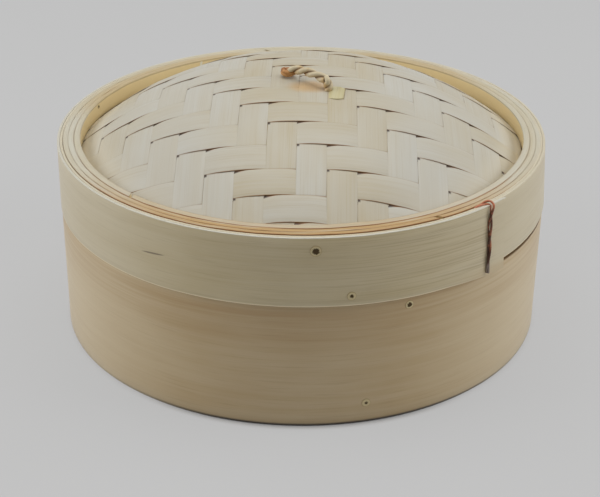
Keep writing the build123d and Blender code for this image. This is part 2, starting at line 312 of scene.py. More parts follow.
class Rule:
    """A geometry tree with named sizes, which is run once for each piece."""

    def __init__(self, name: str, sizes: dict[str, type], draw: Drawing) -> None:
        """Draw the tree.

        Args:
            name: The tree's name.
            sizes: Its inputs' names, each float or int.
            draw: Takes the canvas and the inputs, and returns the finished geometry.
        """
        tree = bpy.data.node_groups.new(name, "GeometryNodeTree")
        self.tree = tree
        kinds = {float: "NodeSocketFloat", int: "NodeSocketInt"}
        tree.interface.new_socket("Geometry", in_out="INPUT", socket_type="NodeSocketGeometry")
        self.sockets = {
            size: tree.interface.new_socket(size, in_out="INPUT", socket_type=kinds[kind])
            for size, kind in sizes.items()
        }
        self.sockets["material"] = tree.interface.new_socket(
            "material", in_out="INPUT", socket_type="NodeSocketMaterial"
        )
        tree.interface.new_socket("Geometry", in_out="OUTPUT", socket_type="NodeSocketGeometry")
        canvas = Canvas(tree)
        start = canvas.add("NodeGroupInput")
        given = {key: canvas.take(start, key) for key in ("Geometry", *self.sockets)}
        shape = draw(canvas, given)
        realized = canvas.add("GeometryNodeRealizeInstances", {"Geometry": shape})
        dressed = canvas.add(
            "GeometryNodeSetMaterial",
            {"Geometry": canvas.take(realized), "Material": given["material"]},
        )
        canvas.add("NodeGroupOutput", {"Geometry": canvas.take(dressed)})

    def run(
        self,
        name: str,
        material: bpy.types.Material,
        points: Sequence[Vector] = (),
        joined: bool = False,
        **sizes: Union[float, int],
    ) -> bpy.types.Object:
        """Make one piece.

        Args:
            name: The piece's name.
            material: Its finish.
            points: Points that the tree starts from, where it needs them.
            joined: Whether the points make one open line.
            **sizes: Values for the tree's inputs.

        Returns:
            An object with a plain mesh, at the origin.
        """
        seed_mesh = bpy.data.meshes.new(f"{name}_start")
        edges = [(i, i + 1) for i in range(len(points) - 1)] if joined else []
        seed_mesh.from_pydata([tuple(p) for p in points], edges, [])
        start = bpy.data.objects.new(f"{name}_start", seed_mesh)
        modifier = start.modifiers.new("rule", "NODES")
        modifier.node_group = self.tree
        for key, value in {**sizes, "material": material}.items():
            modifier[self.sockets[key].identifier] = value
        bpy.context.scene.collection.objects.link(start)
        bpy.context.view_layer.update()
        evaluated = start.evaluated_get(bpy.context.evaluated_depsgraph_get())
        mesh = bpy.data.meshes.new_from_object(evaluated)
        start.modifiers.remove(modifier)
        bpy.data.objects.remove(start)
        bpy.data.meshes.remove(seed_mesh)
        return piece_from_mesh(name, mesh)


def piece_from_mesh(name: str, mesh: bpy.types.Mesh, crease: float = 40.0) -> bpy.types.Object:
    """Put a finished mesh into the scene, smooth but for its sharp edges.

    Args:
        name: The piece's name.
        mesh: Its mesh, with its place in it.
        crease: Edges that bend by more degrees than this stay sharp.

    Returns:
        The object, at the origin.
    """
    mesh.name = name
    mesh.shade_smooth()
    mesh.set_sharp_from_angle(angle=math.radians(crease))
    piece = bpy.data.objects.new(name, mesh)
    bpy.context.scene.collection.objects.link(piece)
    return piece


def fit(piece: bpy.types.Object, body: Body, slot: Slot, *nodes: str) -> None:
    """Let a piece ride on a body in place of frame nodes, and report it.

    Args:
        piece: The finished piece.
        body: The body that it moves with.
        slot: The record's material slot; not used.
        *nodes: The frame nodes that it stands for.
    """
    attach(piece, body.value)
    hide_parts(*nodes)
    LOG.info("%s: %d faces on %s", piece.name, len(piece.data.polygons), body.value)


def at_end(place: Quantity) -> Quantity:
    """1 where a place is 0 or 1, else 0."""
    nearly_half = 0.4999
    return place.canvas.math("GREATER_THAN", abs(place - 0.5), nearly_half)


def spread(canvas: Canvas, place: Quantity, count: Number, share: Number) -> Quantity:
    """Move evenly spaced places so that the first and last steps make a narrow bevel.

    Args:
        canvas: The tree being drawn.
        place: Places from 0 to 1.
        count: How many places there are.
        share: The bevel as a share of the whole width.

    Returns:
        The moved places, from 0 to 1.
    """
    gap = canvas.math("DIVIDE", 1.0, count - 1.0)
    inner = (place - gap) / (1.0 - gap * 2.0)
    inner = share + inner * (1.0 - share * 2.0)
    is_end = at_end(place)
    return inner * (1.0 - is_end) + canvas.math("ROUND", place) * is_end


def store(canvas: Canvas, shape: Quantity, mark: Mark, value: Quantity) -> Quantity:
    """Keep a number or a vector on a geometry's points for its finish.

    Args:
        canvas: The tree being drawn.
        shape: The geometry.
        mark: The attribute that keeps the value.
        value: The number or vector.

    Returns:
        The geometry with the attribute.
    """
    kind = "FLOAT_VECTOR" if mark in (Mark.GRAIN, Mark.CORE) else "FLOAT"
    inputs = {"Geometry": shape, "Name": mark.value, "Value": value}
    return canvas.take(canvas.add("GeometryNodeStoreNamedAttribute", inputs, data_type=kind))


def position(canvas: Canvas) -> Quantity:
    """The places of a geometry's points."""
    return canvas.take(canvas.add("GeometryNodeInputPosition"))


def set_position(canvas: Canvas, shape: Quantity, place: Quantity) -> Quantity:
    """Move a geometry's points to new places."""
    inputs = {"Geometry": shape, "Position": place}
    return canvas.take(canvas.add("GeometryNodeSetPosition", inputs))


def bar(canvas: Canvas, along: Number, across: Number, up: Number) -> tuple[Quantity, ...]:
    """A closed bar to be bent by a rule.

    Args:
        canvas: The tree being drawn.
        along: Number of points along the bar.
        across: Number of points across it.
        up: Number of points through its height.

    Returns:
        The bar, and each point's places along, across and up it, from 0 to 1.
    """
    counts = {"Vertices X": along, "Vertices Y": across, "Vertices Z": up}
    box = canvas.take(canvas.add("GeometryNodeMeshCube", {"Size": (1.0, 1.0, 1.0), **counts}))
    x, y, z = canvas.parts(position(canvas))
    return box, x + 0.5, y + 0.5, z + 0.5


def draw_band(canvas: Canvas, size: dict[str, Quantity]) -> Quantity:
    """Rule of a band or hoop: a strip of bamboo rolled clockwise about the upright axis.

    Args:
        canvas: The tree being drawn.
        size: The named sizes.

    Returns:
        The rolled strip.
    """
    rows = size["rows"] + 0.0
    shape, t, a, h = bar(canvas, size["steps"], BAND_POINTS, size["rows"])
    corner = at_end(a) * at_end(h) * size["bevel"] * CORNER_CUT
    a_side = canvas.math("SIGN", a - 0.5)
    h_side = canvas.math("SIGN", h - 0.5)
    depth = spread(canvas, a, float(BAND_POINTS), size["bevel"] / size["thickness"])
    rise = spread(canvas, h, rows, size["bevel"] / size["height"])
    rolled = t * size["sweep"]
    arc = rolled * size["radius"]
    whole = size["sweep"] * size["radius"]
    first = canvas.least(arc / size["taper"] + BLUNT, 1.0)
    last = canvas.least((whole - arc) / size["taper"] + BLUNT, 1.0)
    depth = (1.0 - (1.0 - depth) * first) * last
    angle = size["start"] - rolled
    cosine, sine = canvas.math("COSINE", angle), canvas.math("SINE", angle)
    reach = size["wave"]
    drift = rolled * WAVER_TURN + rise * WAVER_RISE
    waver = canvas.noise(canvas.vector(cosine * reach + size["seed"], sine * reach, drift))
    fine = reach * 2.0
    edge = canvas.noise(
        canvas.vector(cosine * fine, sine * fine + size["seed"], rise * EDGE_RISE + rolled)
    )
    radius = size["radius"] - size["pitch"] * rolled / TURN
    thickness = size["thickness"] * (1.0 - size["thin"] * (0.5 + sine * 0.5))
    radius = radius - thickness * (1.0 - depth) - corner * a_side
    flare = size["flare"] * (1.0 + size["lean"] * cosine)
    radius = radius + (waver - 0.5) * size["waver"] + (1.0 - rise) * flare
    radius = radius + cosine * cosine * size["swell"]
    radius = radius + canvas.most(cosine, 0.0) * rise * size["tip"]
    droop = canvas.step(size["droop_reach"], 0.0, rolled) * size["droop"]
    lift = canvas.step(size["lift_from"], size["lift_to"], rolled) * size["lift"]
    lift = lift * (1.0 - LIFT_LOSS * canvas.step(size["lift_to"], TURN, rolled))
    height = size["bottom"] + rise * size["height"] - corner * h_side
    height = height + (edge - 0.5) * size["edge_waver"] + (lift - droop) * (1.0 - rise)
    height = canvas.most(height, 0.0)
    grain = canvas.vector(arc + size["seed"], rise * size["height"], depth * size["thickness"])
    brink = canvas.least(rise, 1.0 - rise) * size["height"]
    shape = store(canvas, shape, Mark.GRAIN, grain)
    shape = store(canvas, shape, Mark.EDGE, brink)
    y = radius * sine + size["back"]
    return set_position(canvas, shape, canvas.vector(radius * cosine, y, height))


def creep(canvas: Canvas, right: Quantity, front: Quantity, span: Quantity) -> Quantity:
    """How the rows of the weave bow to the front, where they lie half way down the dome.

    Args:
        canvas: The tree being drawn.
        right: Places to the right of the dome's middle.
        front: Places in front of it.
        span: The dome's radius.

    Returns:
        Shares from -1 to 1, 1 where a row has moved furthest to the front.
    """
    away = (front - CREEP_MIDDLE) / CREEP_REACH
    out = right / span
    bow = canvas.most(1.0 - out * out * CREEP_BOW, -1.0)
    return bow * canvas.most(1.0 - away * away, 0.0)


def chord(canvas: Canvas, t: Quantity, straight: Quantity, radius: Quantity) -> Quantity:
    """Places along a strip that a circle cuts, from shares of its length."""
    room = canvas.most(radius * radius - straight * straight, LEAST_CHORD * LEAST_CHORD)
    return (t * 2.0 - 1.0) * canvas.math("SQRT", room)


def draw_strip(canvas: Canvas, size: dict[str, Quantity]) -> Quantity:
    """Rule of a flat strip cut round at its ends, woven over and under the strips it crosses.

    Args:
        canvas: The tree being drawn.
        size: The named sizes.

    Returns:
        The strip.
    """
    count = size["columns"] + 0.0
    shape, t, a, h = bar(canvas, size["steps"], size["columns"], 2)
    side = spread(canvas, a, count, size["bevel"] / size["width"]) - 0.5
    rim = at_end(a)
    uneven = canvas.vector(t * WOBBLE_ALONG, size["seed"], side * WOBBLE_ACROSS)
    wobble = canvas.noise(uneven) - 0.5
    straight = size["place"] - side * size["width"]
    along = chord(canvas, t, straight, size["radius"])
    straight = straight + creep(canvas, along, straight, size["span"]) * size["bow"]
    along = chord(canvas, t, straight, size["radius"])
    crossed = along + creep(canvas, straight, -along, size["span"]) * size["crossed_bow"]
    turns = size["shift"] - crossed / size["pitch"]
    phase = canvas.math("WRAP", turns + 0.5, REPEAT, 0.0) - REPEAT / 2
    wave = 1.0 - abs(phase)
    near = canvas.least(abs(wave) * size["pitch"] / size["rise"], 1.0)
    level = canvas.math("SIGN", wave) * (1.0 - (1.0 - near) * (1.0 - near))
    place = straight + side * size["waist"] * (1.0 - level) + wobble * rim * size["wobble"]
    out = (along * along + place * place) / (size["span"] * size["span"])
    sag = canvas.math("POWER", out, size["fullness"]) * size["drop"]
    cup = (1.0 - side * side * 4.0) * size["crown"]
    height = size["top"] - sag + level * size["lift"] + cup
    height = height + (h - 0.5) * size["thickness"] * (1.0 - rim * 0.5)
    cosine, sine = canvas.math("COSINE", size["turn"]), canvas.math("SINE", size["turn"])
    x = along * cosine + place * sine
    y = along * sine - place * cosine
    grain = canvas.vector(along + size["seed"], side * size["width"], h * size["thickness"])
    for mark, value in (
        (Mark.GRAIN, grain),
        (Mark.EDGE, (0.5 - abs(side)) * size["width"]),
        (Mark.TONE, size["tone"] + 0.0),
        (Mark.LEVEL, level),
        (Mark.PHASE, phase),
    ):
        shape = store(canvas, shape, mark, value)
    return set_position(canvas, shape, canvas.vector(x, y, height))


def draw_pegs(canvas: Canvas, size: dict[str, Quantity]) -> Quantity:
    """Rule of round pegs, one at each point, driven in towards the upright axis.

    Args:
        canvas: The tree being drawn.
        size: The named sizes.

    Returns:
        The pegs.
    """
    counts = {"Vertices": PEG_SIDES, "Side Segments": 1, "Fill Segments": PEG_RINGS}
    lengths = {"Radius": size["radius"], "Depth": size["length"]}
    peg = canvas.take(canvas.add("GeometryNodeMeshCylinder", {**counts, **lengths}))
    x, y, z = canvas.parts(position(canvas))
    share = canvas.math("SQRT", x * x + y * y) / size["radius"]
    peg = store(canvas, peg, Mark.RING, share)
    round_off = (1.0 - share * share) * size["crown"] * canvas.math("SIGN", z)
    peg = set_position(canvas, peg, canvas.vector(x, y, z + round_off))
    turn = canvas.vector(0.0, TURN / 4, canvas.math("ARCTAN2", y, x))
    inputs = {"Points": size["Geometry"], "Instance": peg, "Rotation": turn}
    return canvas.take(canvas.add("GeometryNodeInstanceOnPoints", inputs))


def draw_twist(canvas: Canvas, size: dict[str, Quantity]) -> Quantity:
    """Rule of two round strands twisted together along a smooth line through given points.

    Args:
        canvas: The tree being drawn.
        size: The named sizes, and the line.

    Returns:
        The two strands.
    """
    line = canvas.take(canvas.add("GeometryNodeMeshToCurve", {"Mesh": size["Geometry"]}))
    smooth = canvas.add("GeometryNodeCurveSplineType", {"Curve": line}, spline_type="CATMULL_ROM")
    fine = canvas.add(
        "GeometryNodeResampleCurve", {"Curve": canvas.take(smooth), "Count": size["steps"]}
    )
    circle = {"Resolution": STRAND_SIDES, "Radius": size["strand"]}
    profile = canvas.take(canvas.add("GeometryNodeCurvePrimitiveCircle", circle))
    spline = canvas.add("GeometryNodeSplineParameter")
    share, arc = canvas.take(spline, "Factor"), canvas.take(spline, "Length")
    normal = canvas.take(canvas.add("GeometryNodeInputNormal"))
    tangent = canvas.take(canvas.add("GeometryNodeInputTangent"))
    side = canvas.take(canvas.pair("CROSS_PRODUCT", tangent, normal))
    cored = store(canvas, canvas.take(fine), Mark.CORE, position(canvas))
    reach = size["twist"] * (1.0 + size["slack"] * canvas.step(1.0, 0.0, share))
    both = canvas.add("GeometryNodeJoinGeometry")
    for phase in (0.0, TURN / 2):
        angle = share * size["turns"] * TURN + size["phase"] + phase
        out = canvas.scaled(normal, canvas.math("COSINE", angle) * reach * size["flat"])
        across = canvas.scaled(side, canvas.math("SINE", angle) * reach)
        offset = canvas.take(canvas.pair("ADD", out, across))
        moved = canvas.add("GeometryNodeSetPosition", {"Geometry": cored, "Offset": offset})
        strand = store(canvas, canvas.take(moved), Mark.TONE, share + 0.0)
        strand = store(canvas, strand, Mark.GRAIN, canvas.vector(arc, phase, 0.0))
        inputs = {"Curve": strand, "Profile Curve": profile, "Fill Caps": True}
        canvas.feed(both.inputs[0], canvas.take(canvas.add("GeometryNodeCurveToMesh", inputs)))
    return canvas.take(both)


@dataclass(frozen=True)
class Finish:
    """A finish, which is drawn as a material of its own."""

    name: str

    def material(self) -> bpy.types.Material:
        """Make the material.

        Returns:
            The material, with its node tree.
        """
        material = bpy.data.materials.new(self.name)
        material.use_nodes = True
        canvas = Canvas(material.node_tree)
        shader = canvas.add("ShaderNodeBsdfPrincipled", self.surface(canvas))
        canvas.add("ShaderNodeOutputMaterial", {"Surface": canvas.take(shader)})
        return material

    def surface(self, canvas: Canvas) -> dict[str, Number]:
        """The shader's inputs, by name."""
        raise NotImplementedError


@dataclass(frozen=True)
class BambooFinish(Finish):
    """Split and scraped bamboo: long fibres along the strip, streaks, blotches and edges.

    Lengths are in metres, colours are linear, and strengths run from 0 to 1. A span gives where
    a mark starts and where it is whole.
    """

    pale: Colour
    tan: Colour
    fibre: Colour
    edge: Colour
    fibre_width: float = 0.7 * MM
    fibre_length: float = 28 * MM
    fibre_span: Span = (0.5, 0.78)
    fibre_strength: float = 0.35
    streak_wider: float = 6.0
    streak_longer: float = 5.0
    streak_strength: float = 0.9
    blotch_length: float = 45 * MM
    blotch_width: float = 20 * MM
    blotch_strength: float = 0.8
    edge_reach: float = 0.6 * MM
    edge_strength: float = 0.6
    roughness: float = 0.45
    roughness_spread: float = 0.3
    gloss: float = 0.45
    relief: float = 0.05 * MM
    # Painted sheen: the paler colour towards the left and the right side, its strength, and where
    # it starts and is whole.
    side_sheen: Colour = paint(208, 200, 180)
    side_sheen_strength: float = 0.0
    side_sheen_span: Span = (45 * MM, 115 * MM)

    def surface(self, canvas: Canvas) -> dict[str, Number]:
        """The shader's inputs.

        Args:
            canvas: The material's tree.

        Returns:
            Values or quantities, by the inputs' names.
        """
        grain = canvas.parts(canvas.mark(Mark.GRAIN, "Vector"))
        along, across, depth = grain
        fibre = self.fibres(canvas, grain, self.fibre_width, self.fibre_length)
        streak_width = self.streak_wider * self.fibre_width
        streak = self.fibres(canvas, grain, streak_width, self.streak_longer * self.fibre_length)
        wide = self.blotch_width
        patches = canvas.vector(along / self.blotch_length, across / wide, depth / wide)
        blotch = canvas.noise(patches)
        share = (streak - 0.5) * 2.0 * self.streak_strength
        share = share + (blotch - 0.5) * 2.0 * self.blotch_strength + canvas.mark(Mark.TONE) + 0.5
        share = canvas.most(canvas.least(share, 1.0), 0.0)
        colour = canvas.blend(share, self.pale, self.tan)
        line = canvas.step(*self.fibre_span, fibre) * self.fibre_strength
        colour = canvas.blend(line, colour, self.fibre)
        brink = canvas.step(self.edge_reach, 0.0, canvas.mark(Mark.EDGE))
        colour = canvas.blend(brink * self.edge_strength, colour, self.edge)
        return {
            "Base Color": self.tint(canvas, colour, grain),
            "Roughness": (fibre - 0.5) * self.roughness_spread + self.roughness,
            "Normal": canvas.bump((fibre + streak) * 0.5, self.relief),
            "Specular IOR Level": self.gloss,
        }

    def fibres(self, canvas: Canvas, grain: Grain, width: float, length: float) -> Quantity:
        """Noise drawn out along the grain, around 0.5.

        Args:
            canvas: The material's tree.
            grain: Places along, across and through the strip.
            width: Width of a fibre.
            length: Length of a fibre.

        Returns:
            The noise.
        """
        along, across, depth = grain
        stretched = canvas.vector(along / length, across / width, depth / width)
        return canvas.noise(stretched, detail=3.0, roughness=0.6)

    def tint(self, canvas: Canvas, colour: Quantity, grain: Grain) -> Quantity:
        """Marks of one piece alone; plain bamboo has none."""
        return colour

    def paint_side_sheen(self, canvas: Canvas, colour: Quantity) -> Quantity:
        """Painted sheen: paler bamboo towards the left and the right side.

        Args:
            canvas: The material's tree.
            colour: The colour so far.

        Returns:
            The paler colour.
        """
        x, _, _ = canvas.parts(canvas.place())
        side = canvas.step(*self.side_sheen_span, abs(x))
        return canvas.blend(side * self.side_sheen_strength, colour, self.side_sheen)


@dataclass(frozen=True)
class LidWallFinish(BambooFinish):
    """The lid's outer band: deeper grain near its stitched end, and one split splinter."""

    ridge_length: float = 70 * MM
    ridge_width: float = 0.9 * MM
    ridge_span: Span = (0.46, 0.66)
    coarse_start: Span = (4 * MM, 20 * MM)
    coarse_reach: float = 200 * MM
    coarse_strength: float = 0.42
    splinter_along: float = 183 * MM
    splinter_up: float = 16.6 * MM
    splinter_length: float = 7.5 * MM
    splinter_width: float = 0.55 * MM
    splinter_slope: float = -0.09
    splinter_span: Span = (1.0, 0.35)
    splinter_strength: float = 0.7
    # Painted highlight on the pale cut lower edge, made brighter so that it shows on the bevel that
    # faces down.
    brim_highlight: Colour = paint(244, 228, 190)
    brim_width: float = 1.0 * MM
    brim_start: float = 60 * MM
    brim_strength: float = 0.85
    corner: Colour = paint(194, 172, 132)
    corner_up: Span = (7 * MM, 1 * MM)
    corner_along: Span = (40 * MM, 10 * MM)
    corner_strength: float = 0.8
    rim: Colour = paint(193, 189, 174)
    rim_depth: Span = (0.5 * MM, 0.1 * MM)
    rim_reach: Span = (0.55, 0.7)
    rim_strength: float = 0.9
    rim_loss: float = 0.6
    height: float = 35.2 * MM

    def tint(self, canvas: Canvas, colour: Quantity, grain: Grain) -> Quantity:
        """Coarse lines that fade away from the stitch, the splinter, the painted highlight on the
        lower edge and the pale top edge.

        Args:
            canvas: The material's tree.
            colour: The plain bamboo's colour.
            grain: Places along, across and through the band.

        Returns:
            The band's colour.
        """
        along, across, _ = grain
        # Painted sheen at the sides.
        colour = self.paint_side_sheen(canvas, colour)
        ridge = canvas.vector(along / self.ridge_length, across / self.ridge_width, 0.0)
        coarse = canvas.step(*self.ridge_span, canvas.noise(ridge, roughness=0.6))
        coarse = coarse * canvas.step(self.coarse_reach, 0.0, along)
        coarse = coarse * canvas.step(*self.coarse_start, along)
        colour = canvas.blend(coarse * self.coarse_strength, colour, self.fibre)
        past = along - self.splinter_along
        run = past / self.splinter_length
        level = (across - self.splinter_up - past * self.splinter_slope) / self.splinter_width
        slit = canvas.step(*self.splinter_span, run * run + level * level)
        colour = canvas.blend(slit * self.splinter_strength, colour, self.edge)
        # Painted highlight on the lower edge, over its pale cut edge.
        brim_highlight = canvas.step(self.brim_width, 0.0, across) * canvas.step(0.0, self.brim_start, along)
        colour = canvas.blend(brim_highlight * self.brim_strength, colour, self.brim_highlight)
        corner = canvas.step(*self.corner_up, across) * canvas.step(*self.corner_along, along)
        colour = canvas.blend(corner * self.corner_strength, colour, self.corner)
        top = canvas.step(*(self.height - down for down in self.rim_depth), across)
        hidden = canvas.step(*self.rim_reach, along)
        return canvas.blend(top * (self.rim_strength - hidden * self.rim_loss), colour, self.rim)


@dataclass(frozen=True)
class BaseWallFinish(BambooFinish):
    """The base's outer wall, with painted shade on its top edge under the lid and a painted contact
    shadow at its foot.
    """

    height: float = 67 * MM
    # Painted shade in the gap under the lid's edge, on the wall's top edge.
    shade: Colour = paint(104, 78, 44)
    shade_depth: Span = (0.6 * MM, 0.1 * MM)
    shade_strength: float = 0.9
    ochre: Colour = paint(164, 128, 74)
    ochre_from: float = 34 * MM
    ochre_length: float = 160 * MM
    ochre_width: float = 2.6 * MM
    ochre_shift: float = 7.0
    ochre_span: Span = (0.25, 0.8)
    ochre_strength: float = 0.75
    # Painted contact shadow along the foot: its colour, height, where it is deepest, its reach, and
    # its strength everywhere and at that place.
    foot: Colour = paint(36, 26, 14)
    foot_height: Span = (1.9 * MM, 0.76 * MM)
    foot_along: float = 3.345
    foot_reach: Span = (150 * MM, 40 * MM)
    foot_least: float = 0.12
    foot_front_shadow: float = 0.83

    def tint(self, canvas: Canvas, colour: Quantity, grain: Grain) -> Quantity:
        """Ochre streaks in the upper part, painted shade on the top edge and a painted contact
        shadow at the foot.

        Args:
            canvas: The material's tree.
            colour: The plain bamboo's colour.
            grain: Places along, across and through the wall.

        Returns:
            The wall's colour.
        """
        along, across, _ = grain
        # Painted sheen at the sides.
        colour = self.paint_side_sheen(canvas, colour)
        stretched = canvas.vector(
            along / self.ochre_length, across / self.ochre_width, self.ochre_shift
        )
        streak = canvas.noise(stretched, detail=3.0, roughness=0.6)
        upper = canvas.step(self.ochre_from, self.height, across)
        upper = upper * canvas.step(*self.ochre_span, streak)
        colour = canvas.blend(upper * self.ochre_strength, colour, self.ochre)
        # Painted shade on the top edge, under the lid.
        top = canvas.step(*(self.height - down for down in self.shade_depth), across)
        colour = canvas.blend(top * self.shade_strength, colour, self.shade)
        # Painted contact shadow at the foot, deepest towards the front.
        front_share = canvas.step(*self.foot_reach, abs(along - self.foot_along))
        foot = canvas.step(*self.foot_height, across)
        return canvas.blend(foot * (self.foot_least + front_share * self.foot_front_shadow), colour, self.foot)


@dataclass(frozen=True)
class HoopFinish(BambooFinish):
    """A rim hoop: lines along its top, painted shade at the front, ochre tops at the back, an ochre
    face.
    """

    height: float = 22 * MM
    thickness: float = 3 * MM
    top_depth: Span = (1.2 * MM, 0.3 * MM)
    outer_line: float = 0.5
    inner_line: float = 0.5
    line: Colour = paint(140, 96, 52)
    line_width: float = 0.75 * MM
    line_thin: float = 0.4
    line_spread: float = 1.2
    line_wave: float = 20 * MM
    line_shift: float = 3.0
    line_front: Span = (-20 * MM, -100 * MM)
    line_least: float = 0.15
    # Painted shade: the browner colour on the tops at the front, in patches, where it lies and how
    # strong it is.
    front: Colour = paint(178, 144, 94)
    front_shade_span: Span = (-50 * MM, -116 * MM)
    front_shade_strength: float = 0.95
    patch_length: float = 30 * MM
    patch_width: float = 1.5 * MM
    patch_span: Span = (0.2, 0.5)
    # Ochre on the tops towards the back: its colour, strength, and how far it reaches to the side,
    # the end and the back.
    back_ochre: Colour = paint(181, 161, 122)
    back_ochre_strength: float = 0.0
    back_ochre_side: Span = (20 * MM, 45 * MM)
    back_ochre_end: Span = (115 * MM, 80 * MM)
    back_ochre_rear: Span = (0.0, 45 * MM)
    face: Colour = paint(231, 208, 157)
    face_strength: float = 0.95
    strip_end: Colour = paint(226, 222, 206)
    strip_end_at: float = -60.6 * MM
    strip_end_lean: float = 0.15
    strip_end_width: Span = (0.8 * MM, 0.4 * MM)
    strip_end_back: Span = (0.0, 10 * MM)

    def tint(self, canvas: Canvas, colour: Quantity, grain: Grain) -> Quantity:
        """Lines along the top, the painted shade at the front, the ochre back and the ochre face.

        Args:
            canvas: The material's tree.
            colour: The plain bamboo's colour.
            grain: Places along, across and through the hoop.

        Returns:
            The hoop's colour.
        """
        along, across, depth = grain
        x, y, _ = canvas.parts(canvas.place())
        top = canvas.step(*(self.height - down for down in self.top_depth), across)
        below = 1.0 - top
        patch = canvas.vector(along / self.patch_length, depth / self.patch_width, 0.0)
        # Painted shade on the tops at the front, in patches.
        painted_shade = canvas.step(*self.front_shade_span, y) * self.front_shade_strength
        painted_shade = painted_shade * canvas.step(*self.patch_span, canvas.noise(patch))
        colour = canvas.blend(painted_shade, colour, self.front)
        # Ochre on the tops towards the back.
        back_ochre = canvas.step(*self.back_ochre_side, abs(x)) * canvas.step(*self.back_ochre_end, x)
        back_ochre = back_ochre * canvas.step(*self.back_ochre_rear, y) * self.back_ochre_strength
        colour = canvas.blend(back_ochre, colour, self.back_ochre)
        colour = canvas.blend(below * self.face_strength, colour, self.face)
        away = abs(x - self.strip_end_at - across * self.strip_end_lean)
        end = canvas.step(*self.strip_end_width, away) * canvas.step(*self.strip_end_back, y)
        colour = canvas.blend(end * below, colour, self.strip_end)
        wander = canvas.noise(canvas.vector(along / self.line_wave, self.line_shift, 0.0))
        width = (wander * self.line_spread + self.line_thin) * self.line_width
        outer = canvas.step(width, 0.0, self.thickness - depth) * self.outer_line
        inner = canvas.step(width, 0.0, depth) * self.inner_line
        near = canvas.step(*self.line_front, y) * (1.0 - self.line_least) + self.line_least
        return canvas.blend(canvas.most(outer, inner) * top * near, colour, self.line)


